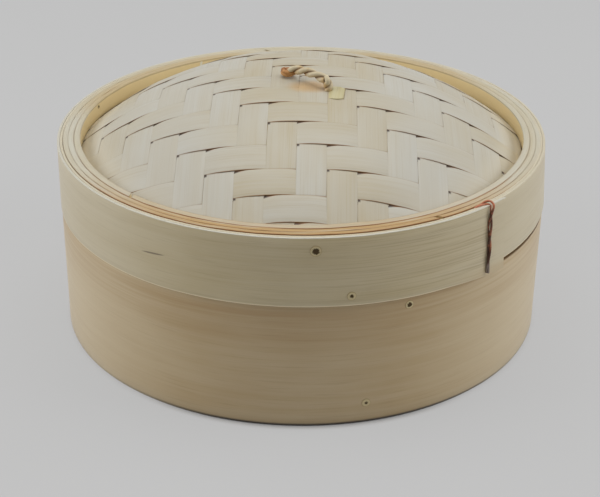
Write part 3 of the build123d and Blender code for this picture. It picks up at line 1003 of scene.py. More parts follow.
@dataclass(frozen=True)
class WeaveFinish(BambooFinish):
    """A woven strip: painted shade where it dips under others, a painted shadow under the handle.

    A column has painted shade in a hole at the left of each upper end, of the width `hole`; a row
    has a painted shadow wedge along the back of each left end, of the width `wedge`, which turns
    brown as it narrows. All of them fade towards the back.
    """

    # Painted shade where the strip dips under others: its colour, the level where it starts, how
    # deep it grows and how strong it is.
    under: Colour = paint(58, 36, 18)
    dip_from: float = 0.0
    dip_depth: float = 0.35
    dip_strength: float = 0.95
    # Painted shade in the holes and wedges between strips, the lighter brown of a wedge's narrow
    # end, and how it fades towards the back.
    gap: Colour = paint(52, 30, 10)
    hole: float = 0.0
    hole_level: Span = (0.34, 0.14)
    hole_strength: float = 0.95
    wedge: float = 0.0
    wedge_strength: float = 0.9
    trail: Colour = paint(138, 88, 34)
    trail_level: Span = (0.2, 0.75)
    turning: float = 0.05
    fade: float = 0.5
    fade_span: Span = (30 * MM, 95 * MM)
    fade_margin: float = 0.9
    # Painted shadow: the warm patch that the handle casts on the weave, its strength, middle and
    # reach.
    painted_shade: Colour = paint(196, 158, 104)
    handle_shadow_strength: float = 0.7
    handle_shadow_place: Span = (4 * MM, -15 * MM)
    handle_shadow_reach: Span = (14 * MM, 9 * MM)
    # Painted light: a paler colour on the weave's outer margin at the sides and the back, against
    # the shade where it meets the rim; where it lies and how strong it is.
    lit_margin: Colour = paint(206, 198, 178)
    lit_margin_span: Span = (98 * MM, 112 * MM)
    lit_margin_front: Span = (-90 * MM, -30 * MM)
    lit_margin_strength: float = 0.5
    # Painted sheen: a cooler, paler colour on the dome's left and right sides, its strength, and
    # where it rises and fades.
    dome_sheen: Colour = paint(189, 190, 187)
    dome_sheen_strength: float = 0.34
    dome_sheen_start: Span = (25 * MM, 60 * MM)
    dome_sheen_end: Span = (102 * MM, 60 * MM)
    face: float = 0.2 * MM

    def tint(self, canvas: Canvas, colour: Quantity, grain: Grain) -> Quantity:
        """The painted handle shadow, side sheen, margin light and dip shade, on the upper face
        alone.

        Args:
            canvas: The material's tree.
            colour: The plain bamboo's colour.
            grain: Places along, across and through the strip.

        Returns:
            The strip's colour.
        """
        plain = colour
        x, y, _ = canvas.parts(canvas.place())
        # Painted shadow of the handle on the weave.
        right = (x - self.handle_shadow_place[0]) / self.handle_shadow_reach[0]
        back = (y - self.handle_shadow_place[1]) / self.handle_shadow_reach[1]
        handle_shadow = canvas.step(1.0, 0.0, right * right + back * back)
        colour = canvas.blend(handle_shadow * self.handle_shadow_strength, colour, self.painted_shade)
        # Painted sheen on the dome's sides.
        away = abs(x)
        beside = canvas.step(*self.dome_sheen_start, away) * canvas.step(*self.dome_sheen_end, away)
        colour = canvas.blend(beside * self.dome_sheen_strength, colour, self.dome_sheen)
        # Painted light on the outer margin, at the sides and the back.
        out = canvas.step(*self.lit_margin_span, canvas.math("SQRT", x * x + y * y))
        pale = out * canvas.step(*self.lit_margin_front, y) * self.lit_margin_strength
        colour = canvas.blend(pale, colour, self.lit_margin)
        # Painted shade on the dips, holes and wedges, faded towards the back.
        level = canvas.mark(Mark.LEVEL)
        dip_shade = canvas.step(self.dip_from, self.dip_from - self.dip_depth, level)
        shaded = canvas.blend(dip_shade * self.dip_strength, colour, self.under)
        shaded = self.gaps(canvas, shaded, grain[1], level)
        faded = canvas.step(*self.fade_span, y) * self.fade
        rear = out * canvas.step(0.0, self.fade_span[0], y) * self.fade_margin
        colour = canvas.blend(canvas.most(faded, rear), shaded, colour)
        return canvas.blend(canvas.step(0.0, self.face, grain[2]), plain, colour)

    def gaps(self, canvas: Canvas, colour: Quantity, across: Quantity, level: Quantity) -> Quantity:
        """The painted shade in the holes and wedges where the strip meets its neighbours.

        Args:
            canvas: The material's tree.
            colour: The strip's colour so far.
            across: Place across the strip.
            level: How far the strip is over (1) or under (-1) the strips that it crosses.

        Returns:
            The colour with the gaps.
        """
        phase = canvas.mark(Mark.PHASE)
        other_half = canvas.step(0.0, -1 * MM, across)
        brink = canvas.mark(Mark.EDGE) + other_half
        if self.hole:
            # Painted shade in the hole at the upper end of a column.
            hole = canvas.step(self.hole, self.hole / 2, brink)
            hole = hole * canvas.step(*self.hole_level, level) * self.hole_strength
            upper = canvas.step(self.turning, -self.turning, phase)
            colour = canvas.blend(hole * upper, colour, self.gap)
        if self.wedge:
            # Painted shadow in the wedge under a row's raised edge, dark at its start and brown
            # where it narrows.
            width = canvas.most(1.0 - level, 0.0) * self.wedge
            wedge = canvas.step(1.0, 0.5, brink / canvas.most(width, LEAST_WIDTH))
            shade = canvas.blend(canvas.step(*self.trail_level, level), self.gap, self.trail)
            left = canvas.step(-self.turning, self.turning, phase) * self.wedge_strength
            colour = canvas.blend(wedge * left, colour, shade)
        return colour


@dataclass(frozen=True)
class PegFinish(Finish):
    """End grain of a peg: a dark pith in a pale ring, with a dark joint round it."""

    pith_share: float
    pith: Colour = paint(50, 32, 15)
    pith_blur: float = 0.12
    pith_strength: float = 0.9
    ring: Colour = paint(206, 190, 150)
    joint: Colour = paint(128, 104, 70)
    joint_span: Span = (0.86, 1.0)
    joint_strength: float = 0.6
    speckles: float = 1300.0
    speckle_share: float = 0.6
    relief: float = 0.1 * MM
    relief_strength: float = 0.6
    roughness: float = 0.9

    def surface(self, canvas: Canvas) -> dict[str, Number]:
        """The shader's inputs.

        Args:
            canvas: The material's tree.

        Returns:
            Values or quantities, by the inputs' names.
        """
        share = canvas.mark(Mark.RING)
        speckle = canvas.noise(canvas.scaled(canvas.place(), self.speckles))
        uneven = share + (speckle - 0.5) * self.speckle_share - self.pith_share
        pith = canvas.step(self.pith_blur, -self.pith_blur, uneven) * self.pith_strength
        colour = canvas.blend(pith, self.ring, self.pith)
        joint = canvas.step(*self.joint_span, share) * self.joint_strength
        return {
            "Base Color": canvas.blend(joint, colour, self.joint),
            "Roughness": self.roughness,
            "Normal": canvas.bump(speckle, self.relief, self.relief_strength),
            "Specular IOR Level": 0.0,
        }


@dataclass(frozen=True)
class StrandFinish(Finish):
    """Two strands twisted together: patches along them, and painted shade in the groove between
    them.

    The patches start at one share of the length, and the end's colour at another.
    """

    clean: Colour
    patch: Colour
    # Painted shade in the groove between the strands.
    groove_shade: Colour
    end: Colour
    groove_reach: float
    patch_length: float
    groove_core: float = 0.4
    groove_strength: float = 0.85
    patch_span: Span = (0.45, 0.6)
    patch_shift: float = 0.5
    start_to: float = -1.0
    start_blur: float = 0.08
    end_from: float = 2.0
    end_blur: float = 0.05
    metal: float = 0.0
    roughness: float = 0.6
    fibres: float = 1500.0
    relief: float = 0.1 * MM
    relief_strength: float = 0.6

    def surface(self, canvas: Canvas) -> dict[str, Number]:
        """The shader's inputs.

        Args:
            canvas: The material's tree.

        Returns:
            Values or quantities, by the inputs' names.
        """
        share = canvas.mark(Mark.TONE)
        along, strand, _ = canvas.parts(canvas.mark(Mark.GRAIN, "Vector"))
        spots = canvas.vector(along / self.patch_length, strand, self.patch_shift)
        patch = canvas.noise(spots, detail=3.0)
        started = canvas.step(self.start_to, self.start_to + self.start_blur, share)
        patchy = canvas.step(*self.patch_span, patch) * started
        colour = canvas.blend(patchy, self.clean, self.patch)
        ended = canvas.step(self.end_from, self.end_from + self.end_blur, share)
        colour = canvas.blend(ended, colour, self.end)
        place = canvas.place()
        # Painted shade in the groove: darker close to the line that the strands twist round.
        apart = canvas.pair("DISTANCE", place, canvas.mark(Mark.CORE, "Vector"))
        core = self.groove_reach * self.groove_core
        groove_shade = canvas.step(self.groove_reach, core, canvas.take(apart, "Value"))
        fibre = canvas.noise(canvas.scaled(place, self.fibres), detail=3.0)
        return {
            "Base Color": canvas.blend(groove_shade * self.groove_strength, colour, self.groove_shade),
            "Roughness": self.roughness,
            "Metallic": self.metal,
            "Normal": canvas.bump(fibre, self.relief, self.relief_strength),
        }


def sizes(floats: str, ints: str = "") -> dict[str, type]:
    """Inputs of a rule, from their names in one line each."""
    return {**{n: int for n in ints.split()}, **{n: float for n in floats.split()}}


class Rules:
    """The geometry rules that the sub-assemblies share."""

    def __init__(self) -> None:
        """Draw every tree once."""
        band = " ".join(("start sweep height", *BAND_SIZES))
        self.band = Rule("rolled_band", sizes(band, "steps rows"), draw_band)
        strip = "place width thickness bevel wobble radius crown top turn tone seed"
        strip = " ".join((strip, *FLAT))
        self.strip = Rule("woven_strip", sizes(strip, "steps columns"), draw_strip)
        self.pegs = Rule("driven_pegs", sizes("radius length crown"), draw_pegs)
        twist = "strand twist slack turns phase flat"
        self.twist = Rule("twisted_strands", sizes(twist, "steps"), draw_twist)


@dataclass
class RolledBand:
    """One band or hoop of the steamer, rolled from a strip of bamboo.

    Lengths are in metres and angles in degrees, counted from +X towards +Y. The band is rolled
    clockwise from its joint, and its place along the roll is in radians. Its lower edge droops at
    the start, over `droop_reach`, and is raised from `lift_from` to `lift_to` on. Its foot flares,
    by the share `lean` more at the right. It swells at the sides, tips out at the upper right,
    is thinner at the back by the share `thin`, and stands further back as a whole by `back`.
    """

    name: str
    node: str
    radius: float
    thickness: float
    bottom: float
    top: float
    joint: float
    seed: float
    turns: float = 1.0
    pitch: float = 0.0
    bevel: float = 0.35 * MM
    taper: float = 9 * MM
    waver: float = 0.35 * MM
    edge_waver: float = 0.3 * MM
    wave: float = 2.5
    droop: float = 0.0
    droop_reach: float = 0.3
    lift: float = 0.0
    lift_from: float = 5.0
    lift_to: float = 5.6
    flare: float = 0.0
    lean: float = 0.0
    swell: float = SWELL
    tip: float = 0.0
    thin: float = 0.0
    back: float = 0.0
    steps_per_turn: int = 360
    rows: int = 8

    def build(self, rules: Rules, material: bpy.types.Material) -> bpy.types.Object:
        """Roll the band.

        Args:
            rules: The shared geometry rules.
            material: The band's finish.

        Returns:
            The band's object.
        """
        return rules.band.run(
            self.name,
            material,
            steps=round(self.steps_per_turn * self.turns),
            rows=self.rows,
            start=math.radians(self.joint),
            sweep=TURN * self.turns,
            height=self.top - self.bottom,
            **{size: getattr(self, size) for size in BAND_SIZES},
        )


@dataclass(frozen=True)
class PegRow:
    """Pegs at one height: their angles in degrees, and the share of each head that is pith."""

    name: str
    finish: str
    height: float
    angles: tuple[float, ...]
    radius: float
    pith_share: float

    def build(self, rules: Rules, points: Sequence[Vector], length: float) -> bpy.types.Object:
        """Make the pegs.

        Args:
            rules: The shared geometry rules.
            points: Each peg's middle.
            length: Their length.

        Returns:
            The pegs, as one object.
        """
        material = PegFinish(self.finish, self.pith_share).material()
        return rules.pegs.run(
            self.name, material, points, radius=self.radius, length=length, crown=PEG_CROWN
        )


def reach_of(node: str) -> float:
    """Outer radius of a round node of the frame."""
    low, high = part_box(node)
    return (high.x - low.x + high.y - low.y) / 4


def nodes_of(kind: str) -> list[str]:
    """The frame's nodes whose names start with a kind of piece, in order."""
    return sorted(node for node in frame["nodes"] if node.startswith(kind))


def polar(angle: float, radius: float, height: float) -> Vector:
    """A point by its angle in degrees, its radius and its height."""
    turned = math.radians(angle)
    return Vector((radius * math.cos(turned), radius * math.sin(turned), height))


def swell(angle: float, most: float = SWELL) -> float:
    """How much further out a wall stands at an angle in degrees, the most at the sides."""
    return most * math.cos(math.radians(angle)) ** 2


@dataclass
class Basket:
    """The base: outer wall, inner wall with its spigot, slatted floor and pegs."""

    rules: Rules
    overlap: float = 1.012
    wall_thickness: float = 2.7 * MM
    wall_flare: float = 0.2 * MM
    wall_swell: float = 1.5 * MM
    wall_tip: float = 0.7 * MM
    wall_joint: float = 75.0
    spigot_thickness: float = 2.3 * MM
    spigot_joint: float = 110.0
    hoop_thickness: float = 2.9 * MM
    hoop_joint: float = 100.0
    hoop_turns: float = 0.9992
    board_reach: float = 120.3 * MM
    board_tones: Span = (-0.3, 0.3)
    board_seeds: Span = (0.0, 40.0)
    peg_length: float = 6 * MM
    peg_proud: float = 0.1 * MM
    pegs: tuple[PegRow, ...] = (
        PegRow("base_pegs_62", "base_peg_62", 62 * MM, (-66.4, 113.6), 2.2 * MM, 0.55),
        PegRow("base_pegs_11", "base_peg_11", 11.1 * MM, (-75.6, 104.4), 2.2 * MM, 0.35),
    )

    def build(self) -> None:
        """Build and fit every piece of the base."""
        self.build_walls()
        self.build_floor()
        self.build_pegs()

    def build_walls(self) -> None:
        """The outer wall and the inner wall."""
        finish = BaseWallFinish(
            "base_bamboo",
            pale=paint(194, 173, 134), tan=paint(180, 153, 108),
            fibre=paint(146, 116, 74), edge=paint(120, 92, 58),
            fibre_strength=0.32, streak_strength=0.7, blotch_strength=0.5, edge_strength=0.2,
            # The paler colour and the strength at the end of the next line are the painted sheen at
            # the sides.
            gloss=1.0, roughness=0.36, side_sheen=paint(214, 198, 166), side_sheen_strength=0.55,
        ).material()
        low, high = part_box("base_outer_band")
        wall = RolledBand(
            "base_wall", "base_outer_band", radius=reach_of("base_outer_band"),
            thickness=self.wall_thickness, bottom=low.z, top=high.z, joint=self.wall_joint,
            seed=3.0, turns=self.overlap, rows=14, bevel=0.6 * MM, edge_waver=0.25 * MM,
            flare=self.wall_flare, swell=self.wall_swell, tip=self.wall_tip,
        )
        low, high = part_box("base_inner_band")
        spigot = RolledBand(
            "base_spigot", "base_inner_band", radius=reach_of("base_inner_band"),
            thickness=self.spigot_thickness, bottom=low.z, top=high.z, joint=self.spigot_joint,
            seed=11.0, turns=self.overlap, rows=12, bevel=0.5 * MM,
        )
        for band in (wall, spigot):
            fit(band.build(self.rules, finish), Body.BASKET, Slot.BASE, band.node)

    def build_floor(self) -> None:
        """The two floor hoops, the slats between them and the bearers below."""
        finish = BambooFinish(
            "floor_bamboo",
            pale=paint(206, 190, 154), tan=paint(190, 164, 118),
            fibre=paint(140, 108, 68), edge=paint(150, 116, 74), edge_strength=0.5,
        ).material()
        for number, node in enumerate(("floor_lower_hoop", "floor_upper_hoop")):
            low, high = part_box(node)
            hoop = RolledBand(
                node.replace("hoop", "ring"), node, radius=reach_of(node),
                thickness=self.hoop_thickness, bottom=low.z, top=high.z, joint=self.hoop_joint,
                seed=20.0 + number, turns=self.hoop_turns, taper=0.05 * MM,
                waver=0.1 * MM, edge_waver=0.1 * MM,
            )
            fit(hoop.build(self.rules, finish), Body.BASKET, Slot.HOOP, node)
        draw = random.Random(7)
        slats = nodes_of("floor_slat")
        for node in slats + nodes_of("floor_bearer"):
            low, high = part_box(node)
            middle = (low + high) / 2
            is_slat = node in slats
            board = self.rules.strip.run(
                node.replace("floor", "board"), finish,
                steps=60, columns=6,
                place=-middle.y if is_slat else middle.x,
                width=high.y - low.y if is_slat else high.x - low.x,
                thickness=high.z - low.z, bevel=0.8 * MM, wobble=0.3 * MM,
                radius=self.board_reach, crown=0.0, top=middle.z,
                turn=0.0 if is_slat else TURN / 4,
                tone=draw.uniform(*self.board_tones), seed=draw.uniform(*self.board_seeds),
                **FLAT,
            )
            fit(board, Body.BASKET, Slot.FLOOR, node)

    def build_pegs(self) -> None:
        """The pegs, those of the front repeated at the back."""
        _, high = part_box("base_outer_band")
        middle = reach_of("base_outer_band") + self.peg_proud - self.peg_length / 2
        for row in self.pegs:
            rise = row.height / high.z
            points = []
            for angle in row.angles:
                tip = self.wall_tip * abs(math.cos(math.radians(angle))) * rise
                out = swell(angle, self.wall_swell) + self.wall_flare * (1 - rise) + tip
                points.append(polar(angle, middle + out, row.height))
            heads = row.build(self.rules, points, self.peg_length)
            fit(heads, Body.BASKET, Slot.PEG, "base_pegs")


@dataclass(frozen=True)
class RimHoop:
    """One hoop of the lid's rim: its node, sizes and the strength of the lines beside it."""

    name: str
    node: str
    thickness: float
    joint: float
    outer_line: float = 0.0
    inner_line: float = 0.0
    grow: float = 0.0
    back: float = 0.0
    thin: float = 0.0
    bottom_cut: float = 0.0
    top_cut: float = 0.0
    # Strength of the painted shade on the hoop's top at the front.
    front_shade: float = 0.95
    # Strength of the ochre on the hoop's top towards the back.
    back_ochre: float = 0.0


@dataclass
class LidRim:
    """The lid's rolled wall, its rim hoops, pegs and stitch."""

    rules: Rules
    seam: float = -40.6
    wall_turns: float = 2.015
    ply: float = 1.38 * MM
    ply_pitch: float = 1.42 * MM
    wall_flare: float = 1.1 * MM
    wall_lean: float = 0.74
    wall_droop: float = 2.2 * MM
    wall_droop_reach: float = 0.33
    wall_lift: float = 2.9 * MM
    hoop_turns: float = 0.9997
    peg_length: float = 2.4 * MM
    peg_proud: float = 0.15 * MM
    wall_pegs: tuple[PegRow, ...] = (
        PegRow(
            "lid_pegs_high", "lid_pegs_high_bamboo", 95.7 * MM, (-87.1, 32.9, 152.9), 2.7 * MM, 0.6
        ),
        PegRow("lid_pegs_low", "lid_pegs_low_bamboo", 72 * MM, (-79.6, 100.4), 2.2 * MM, 0.42),
    )
    inner_pegs: PegRow = PegRow(
        "lid_pegs_inner", "lid_pegs_inner_bamboo", 100 * MM, (163.8, -16.2), 1.1 * MM, 0.6
    )
    hoops: tuple[RimHoop, ...] = (
        RimHoop(
            "rim_hoop_outer", "lid_hoop_outer", thickness=2.65 * MM, joint=-59.0,
            outer_line=0.95, inner_line=0.4, grow=0.4 * MM, back=0.4 * MM, back_ochre=0.3,
        ),
        RimHoop(
            "rim_hoop_middle", "lid_hoop_middle", thickness=2.95 * MM, joint=100.0,
            outer_line=0.4, inner_line=0.95, grow=1.4 * MM, back=0.55 * MM, back_ochre=0.85,
        ),
        RimHoop(
            "rim_hoop_inner", "lid_hoop_inner", thickness=3.9 * MM, joint=-134.0,
            outer_line=0.9, inner_line=0.5, grow=1.8 * MM, back=0.7 * MM,
            thin=0.4, bottom_cut=0.3 * MM, front_shade=0.4, back_ochre=0.95,
        ),
        RimHoop(
            "rim_hoop_under", "lid_hoop_under", thickness=2.7 * MM, joint=60.0, top_cut=2 * MM
        ),
    )
    wire_radius: float = 0.55 * MM
    wire_room: float = 0.2 * MM
    stitch_at: float = -46.0
    # Over the rim: degrees from the stitch's place, metres out from the gap behind the wall, and
    # metres up from the wall's top.
    stitch_over: tuple[Point, ...] = (
        (-4.1, 0.0, -5 * MM), (-3.0, 0.0, -1 * MM), (-1.0, 0.3 * MM, 0.2 * MM),
        (0.0, 1.84 * MM, 0.8 * MM), (0.2, 3.59 * MM, -0.2 * MM),
    )
    # Down the wall's face: degrees from the stitch's place, and share of the wall's height.
    stitch_down: tuple[Span, ...] = ((0.0, 0.92), (-0.4, 0.66), (-0.3, 0.43), (-0.7, 0.01))

    def build(self) -> None:
        """Build and fit every piece of the rim."""
        low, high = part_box("lid_outer_band")
        self.radius, self.bottom, self.top = -low.y, low.z, high.z
        self.build_wall()
        self.build_hoops()
        self.build_pegs()
        self.build_stitch()

    def wall_face(self, angle: float, height: float) -> float:
        """Radius of the wall's outer face.

        Args:
            angle: In degrees.
            height: Above the floor.

        Returns:
            The radius there.
        """
        rolled = self.radius - self.ply_pitch * ((self.seam - angle) % 360 / 360)
        low = (self.top - height) / (self.top - self.bottom)
        flare = self.wall_flare * (1 + self.wall_lean * math.cos(math.radians(angle)))
        return rolled + swell(angle) + low * flare

    def build_wall(self) -> None:
        """The wall, rolled twice round, its outer end drooping and its inner turn raised."""
        finish = LidWallFinish(
            "lid_bamboo",
            pale=paint(199, 185, 151), tan=paint(184, 166, 123),
            fibre=paint(140, 120, 80), edge=paint(84, 66, 44),
            fibre_strength=0.3, streak_strength=0.6, blotch_strength=0.5, edge_strength=0.0,
            # The strength after the roughness on the next line is that of the painted sheen at the
            # sides.
            gloss=1.0, roughness=0.36, side_sheen_strength=0.4, height=self.top - self.bottom,
        ).material()
        wall = RolledBand(
            "lid_wall", "lid_outer_band", radius=self.radius, thickness=self.ply,
            bottom=self.bottom, top=self.top, joint=self.seam, seed=0.0,
            turns=self.wall_turns, pitch=self.ply_pitch, taper=0.3 * MM, rows=12,
            bevel=0.3 * MM, waver=0.2 * MM, droop=self.wall_droop,
            droop_reach=self.wall_droop_reach, lift=self.wall_lift, flare=self.wall_flare,
            lean=self.wall_lean,
        )
        fit(wall.build(self.rules, finish), Body.LID, Slot.LID, wall.node)

    def build_hoops(self) -> None:
        """The rim hoops, from the outside in, and the hoop under the weave."""
        for number, hoop in enumerate(self.hoops):
            low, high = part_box(hoop.node)
            bottom, top = low.z + hoop.bottom_cut, high.z - hoop.top_cut
            finish = HoopFinish(
                f"{hoop.name}_bamboo",
                pale=paint(193, 189, 173), tan=paint(187, 177, 150),
                fibre=paint(150, 108, 64), edge=paint(150, 100, 56),
                fibre_strength=0.2, edge_strength=0.0,
                height=top - bottom, thickness=hoop.thickness,
                outer_line=hoop.outer_line, inner_line=hoop.inner_line,
                front_shade_strength=hoop.front_shade, back_ochre_strength=hoop.back_ochre,
            ).material()
            ring = RolledBand(
                hoop.name, hoop.node, radius=reach_of(hoop.node) + hoop.grow,
                thickness=hoop.thickness, bottom=bottom, top=top, joint=hoop.joint,
                seed=30.0 + 3 * number, turns=self.hoop_turns, taper=0.05 * MM,
                waver=0.4 * MM, edge_waver=0.6 * MM, wave=4.0, bevel=0.2 * MM,
                back=hoop.back, thin=hoop.thin,
            )
            fit(ring.build(self.rules, finish), Body.LID, Slot.HOOP, hoop.node)

    def build_pegs(self) -> None:
        """The pegs in the wall and in the inner hoop."""
        sunk = self.peg_length / 2 - self.peg_proud
        heads = []
        for row in self.wall_pegs:
            points = [
                polar(angle, self.wall_face(angle, row.height) - sunk, row.height)
                for angle in row.angles
            ]
            heads.append(row.build(self.rules, points, self.peg_length))
        hoop = next(hoop for hoop in self.hoops if hoop.node == "lid_hoop_inner")
        outside = reach_of(hoop.node) + hoop.grow
        points = []
        for angle in self.inner_pegs.angles:
            thinned = 1 - hoop.thin * (0.5 + 0.5 * math.sin(math.radians(angle)))
            face = outside - hoop.thickness * thinned + swell(angle)
            moved = Vector((0.0, hoop.back, 0.0))
            points.append(polar(angle, face + sunk, self.inner_pegs.height) + moved)
        heads.append(self.inner_pegs.build(self.rules, points, self.peg_length))
        for pegs in heads:
            fit(pegs, Body.LID, Slot.PEG, "lid_pegs")

    def build_stitch(self) -> None:
        """Two wires, from the gap behind the wall over its top and down its face."""
        start = self.stitch_at
        gap = self.radius + swell(start) - 2 * self.ply_pitch - self.wire_room
        points = [
            polar(start + lean, gap + out, self.top + up) for lean, out, up in self.stitch_over
        ]
        for lean, height in self.stitch_down:
            level = self.bottom + height * (self.top - self.bottom)
            face = self.wall_face(start + lean, level) + self.wire_radius + self.wire_room
            points.append(polar(start + lean, face, level))
        finish = StrandFinish(
            "stitch_copper", clean=paint(176, 108, 78), patch=paint(80, 50, 36),
            groove_shade=paint(40, 24, 18), end=paint(136, 122, 112), groove_reach=0.45 * MM,
            patch_length=5 * MM, patch_span=(0.3, 0.5), end_from=0.88, start_to=0.3,
            metal=0.2, roughness=0.45,
        ).material()
        wires = self.rules.twist.run(
            "stitch_wires", finish, points, joined=True, steps=160, strand=self.wire_radius,
            twist=0.5 * MM, slack=1.2, turns=2.1, phase=0.6, flat=0.6,
        )
        fit(wires, Body.LID, Slot.STITCH, "lid_stitch")


@dataclass
class WovenDome:
    """The dome: strips woven two over and two under, in columns and rows.

    Each strip rises and dips by its lift, within the length `rise` of where it passes another, and
    is narrower where it dips. The rows bow to the front, and the whole weave is turned by a degree.
    """

    rules: Rules
    apex: float = 131.2 * MM
    span: float = 113.65 * MM
    drop: float = 36.6 * MM
    fullness: float = 1.18
    radius: float = 117.4 * MM
    trim: float = 1.5 * MM
    column_pitch: float = 14.6 * MM
    row_pitch: float = 15.2 * MM
    column_shift: float = -1.4 * MM
    row_shift: float = 0.6 * MM
    column_slit: float = 0.05 * MM
    row_slit: float = 0.3 * MM
    column_hole: float = 1.6 * MM
    row_wedge: float = 1.4 * MM
    waist: float = 0.15 * MM
    turn: float = -1.0
    bow: float = 4.4 * MM
    thickness: float = 0.35 * MM
    column_lift: float = 0.15 * MM
    row_lift: float = 0.55 * MM
    rise: float = 9.5 * MM
    crown: float = 0.1 * MM
    bevel: float = 0.25 * MM
    wobble: float = 0.3 * MM
    tones: Span = (-0.3, 0.2)
    seeds: Span = (0.0, 60.0)

    def build(self) -> None:
        """Build and fit every strip."""
        # The colour, level and strength after each finish's name are those of the painted shade on
        # its dips and on its edges.
        column_finish = self.finish(
            "woven_column_bamboo", paint(106, 64, 26), 0.12, 0.2, hole=self.column_hole
        ).material()
        row_finish = self.finish(
            "woven_row_bamboo", paint(186, 160, 112), -0.3, 0.9, wedge=self.row_wedge
        ).material()
        draw = random.Random(21)
        columns, rows = nodes_of("dome_column"), nodes_of("dome_row")
        middle = (len(columns) + 1) / 2
        for number, node in enumerate(columns, 1):
            strip = self.strip(
                node, column_finish, draw,
                place=self.column_shift + (number - middle) * self.column_pitch,
                width=self.column_pitch - self.column_slit,
                pitch=self.row_pitch,
                shift=middle - self.row_shift / self.row_pitch - number + 1,
                lift=self.column_lift, turn=TURN / 4, bow=0.0,
            )
            fit(strip, Body.LID, Slot.COLUMN, node)
        for number, node in enumerate(rows, 1):
            strip = self.strip(
                node, row_finish, draw,
                place=self.row_shift + (number - middle) * self.row_pitch,
                width=self.row_pitch - self.row_slit,
                pitch=self.column_pitch,
                shift=number - 1 - middle + self.column_shift / self.column_pitch,
                lift=self.row_lift, turn=0.0, bow=self.bow,
            )
            fit(strip, Body.LID, Slot.ROW, node)

    def finish(
        self, name: str, under: Colour, dip_from: float, brown: float, **gaps: float
    ) -> WeaveFinish:
        """The strips' finish.

        Args:
            name: The finish's name.
            under: Colour of the painted shade on the dips.
            dip_from: Level at which that colour starts.
            brown: Strength of the brown painted shade on the strips' edges.
            **gaps: Widths of the painted shade in the holes and wedges between strips.

        Returns:
            The finish.
        """
        return WeaveFinish(
            name,
            pale=paint(185, 181, 168), tan=paint(178, 167, 141),
            # The edge colour is painted shade along the strips' edges, at the strength brown.
            fibre=paint(160, 138, 98), edge=paint(138, 98, 52),
            fibre_width=0.45 * MM, fibre_length=45 * MM,
            fibre_strength=0.36, streak_strength=0.4, blotch_strength=0.7,
            edge_reach=0.3 * MM, edge_strength=brown, under=under, dip_from=dip_from,
            **gaps,
        )

    def strip(
        self,
        node: str,
        finish: bpy.types.Material,
        draw: random.Random,
        place: float,
        width: float,
        turn: float,
        bow: float,
        **weave: float,
    ) -> bpy.types.Object:
        """Make one strip, trimmed where it would reach past the dome's edge.

        Args:
            node: The frame node that it stands for.
            finish: Its finish.
            draw: Gives its tone and its seed.
            place: How far it lies from the dome's middle.
            width: Its width.
            turn: Its direction, before the whole weave's own turn.
            bow: How far it bows to the front; the strips that it crosses bow by the rest.
            **weave: Spacing of the strips that it crosses, where it starts among them, in
                strips, and how far it rises and dips.

        Returns:
            The strip's object.
        """
        limit = self.radius - self.trim
        low, high = max(place - width / 2, -limit), min(place + width / 2, limit)
        return self.rules.strip.run(
            node.replace("dome", "strip"), finish,
            steps=220, columns=7, place=(low + high) / 2, width=high - low, waist=self.waist,
            thickness=self.thickness, bevel=self.bevel, wobble=self.wobble, radius=self.radius,
            rise=self.rise, crown=self.crown, drop=self.drop, span=self.span,
            fullness=self.fullness, top=self.apex, turn=math.radians(self.turn) + turn,
            bow=bow, crossed_bow=self.bow - bow,
            tone=draw.uniform(*self.tones), seed=draw.uniform(*self.seeds), **weave,
        )


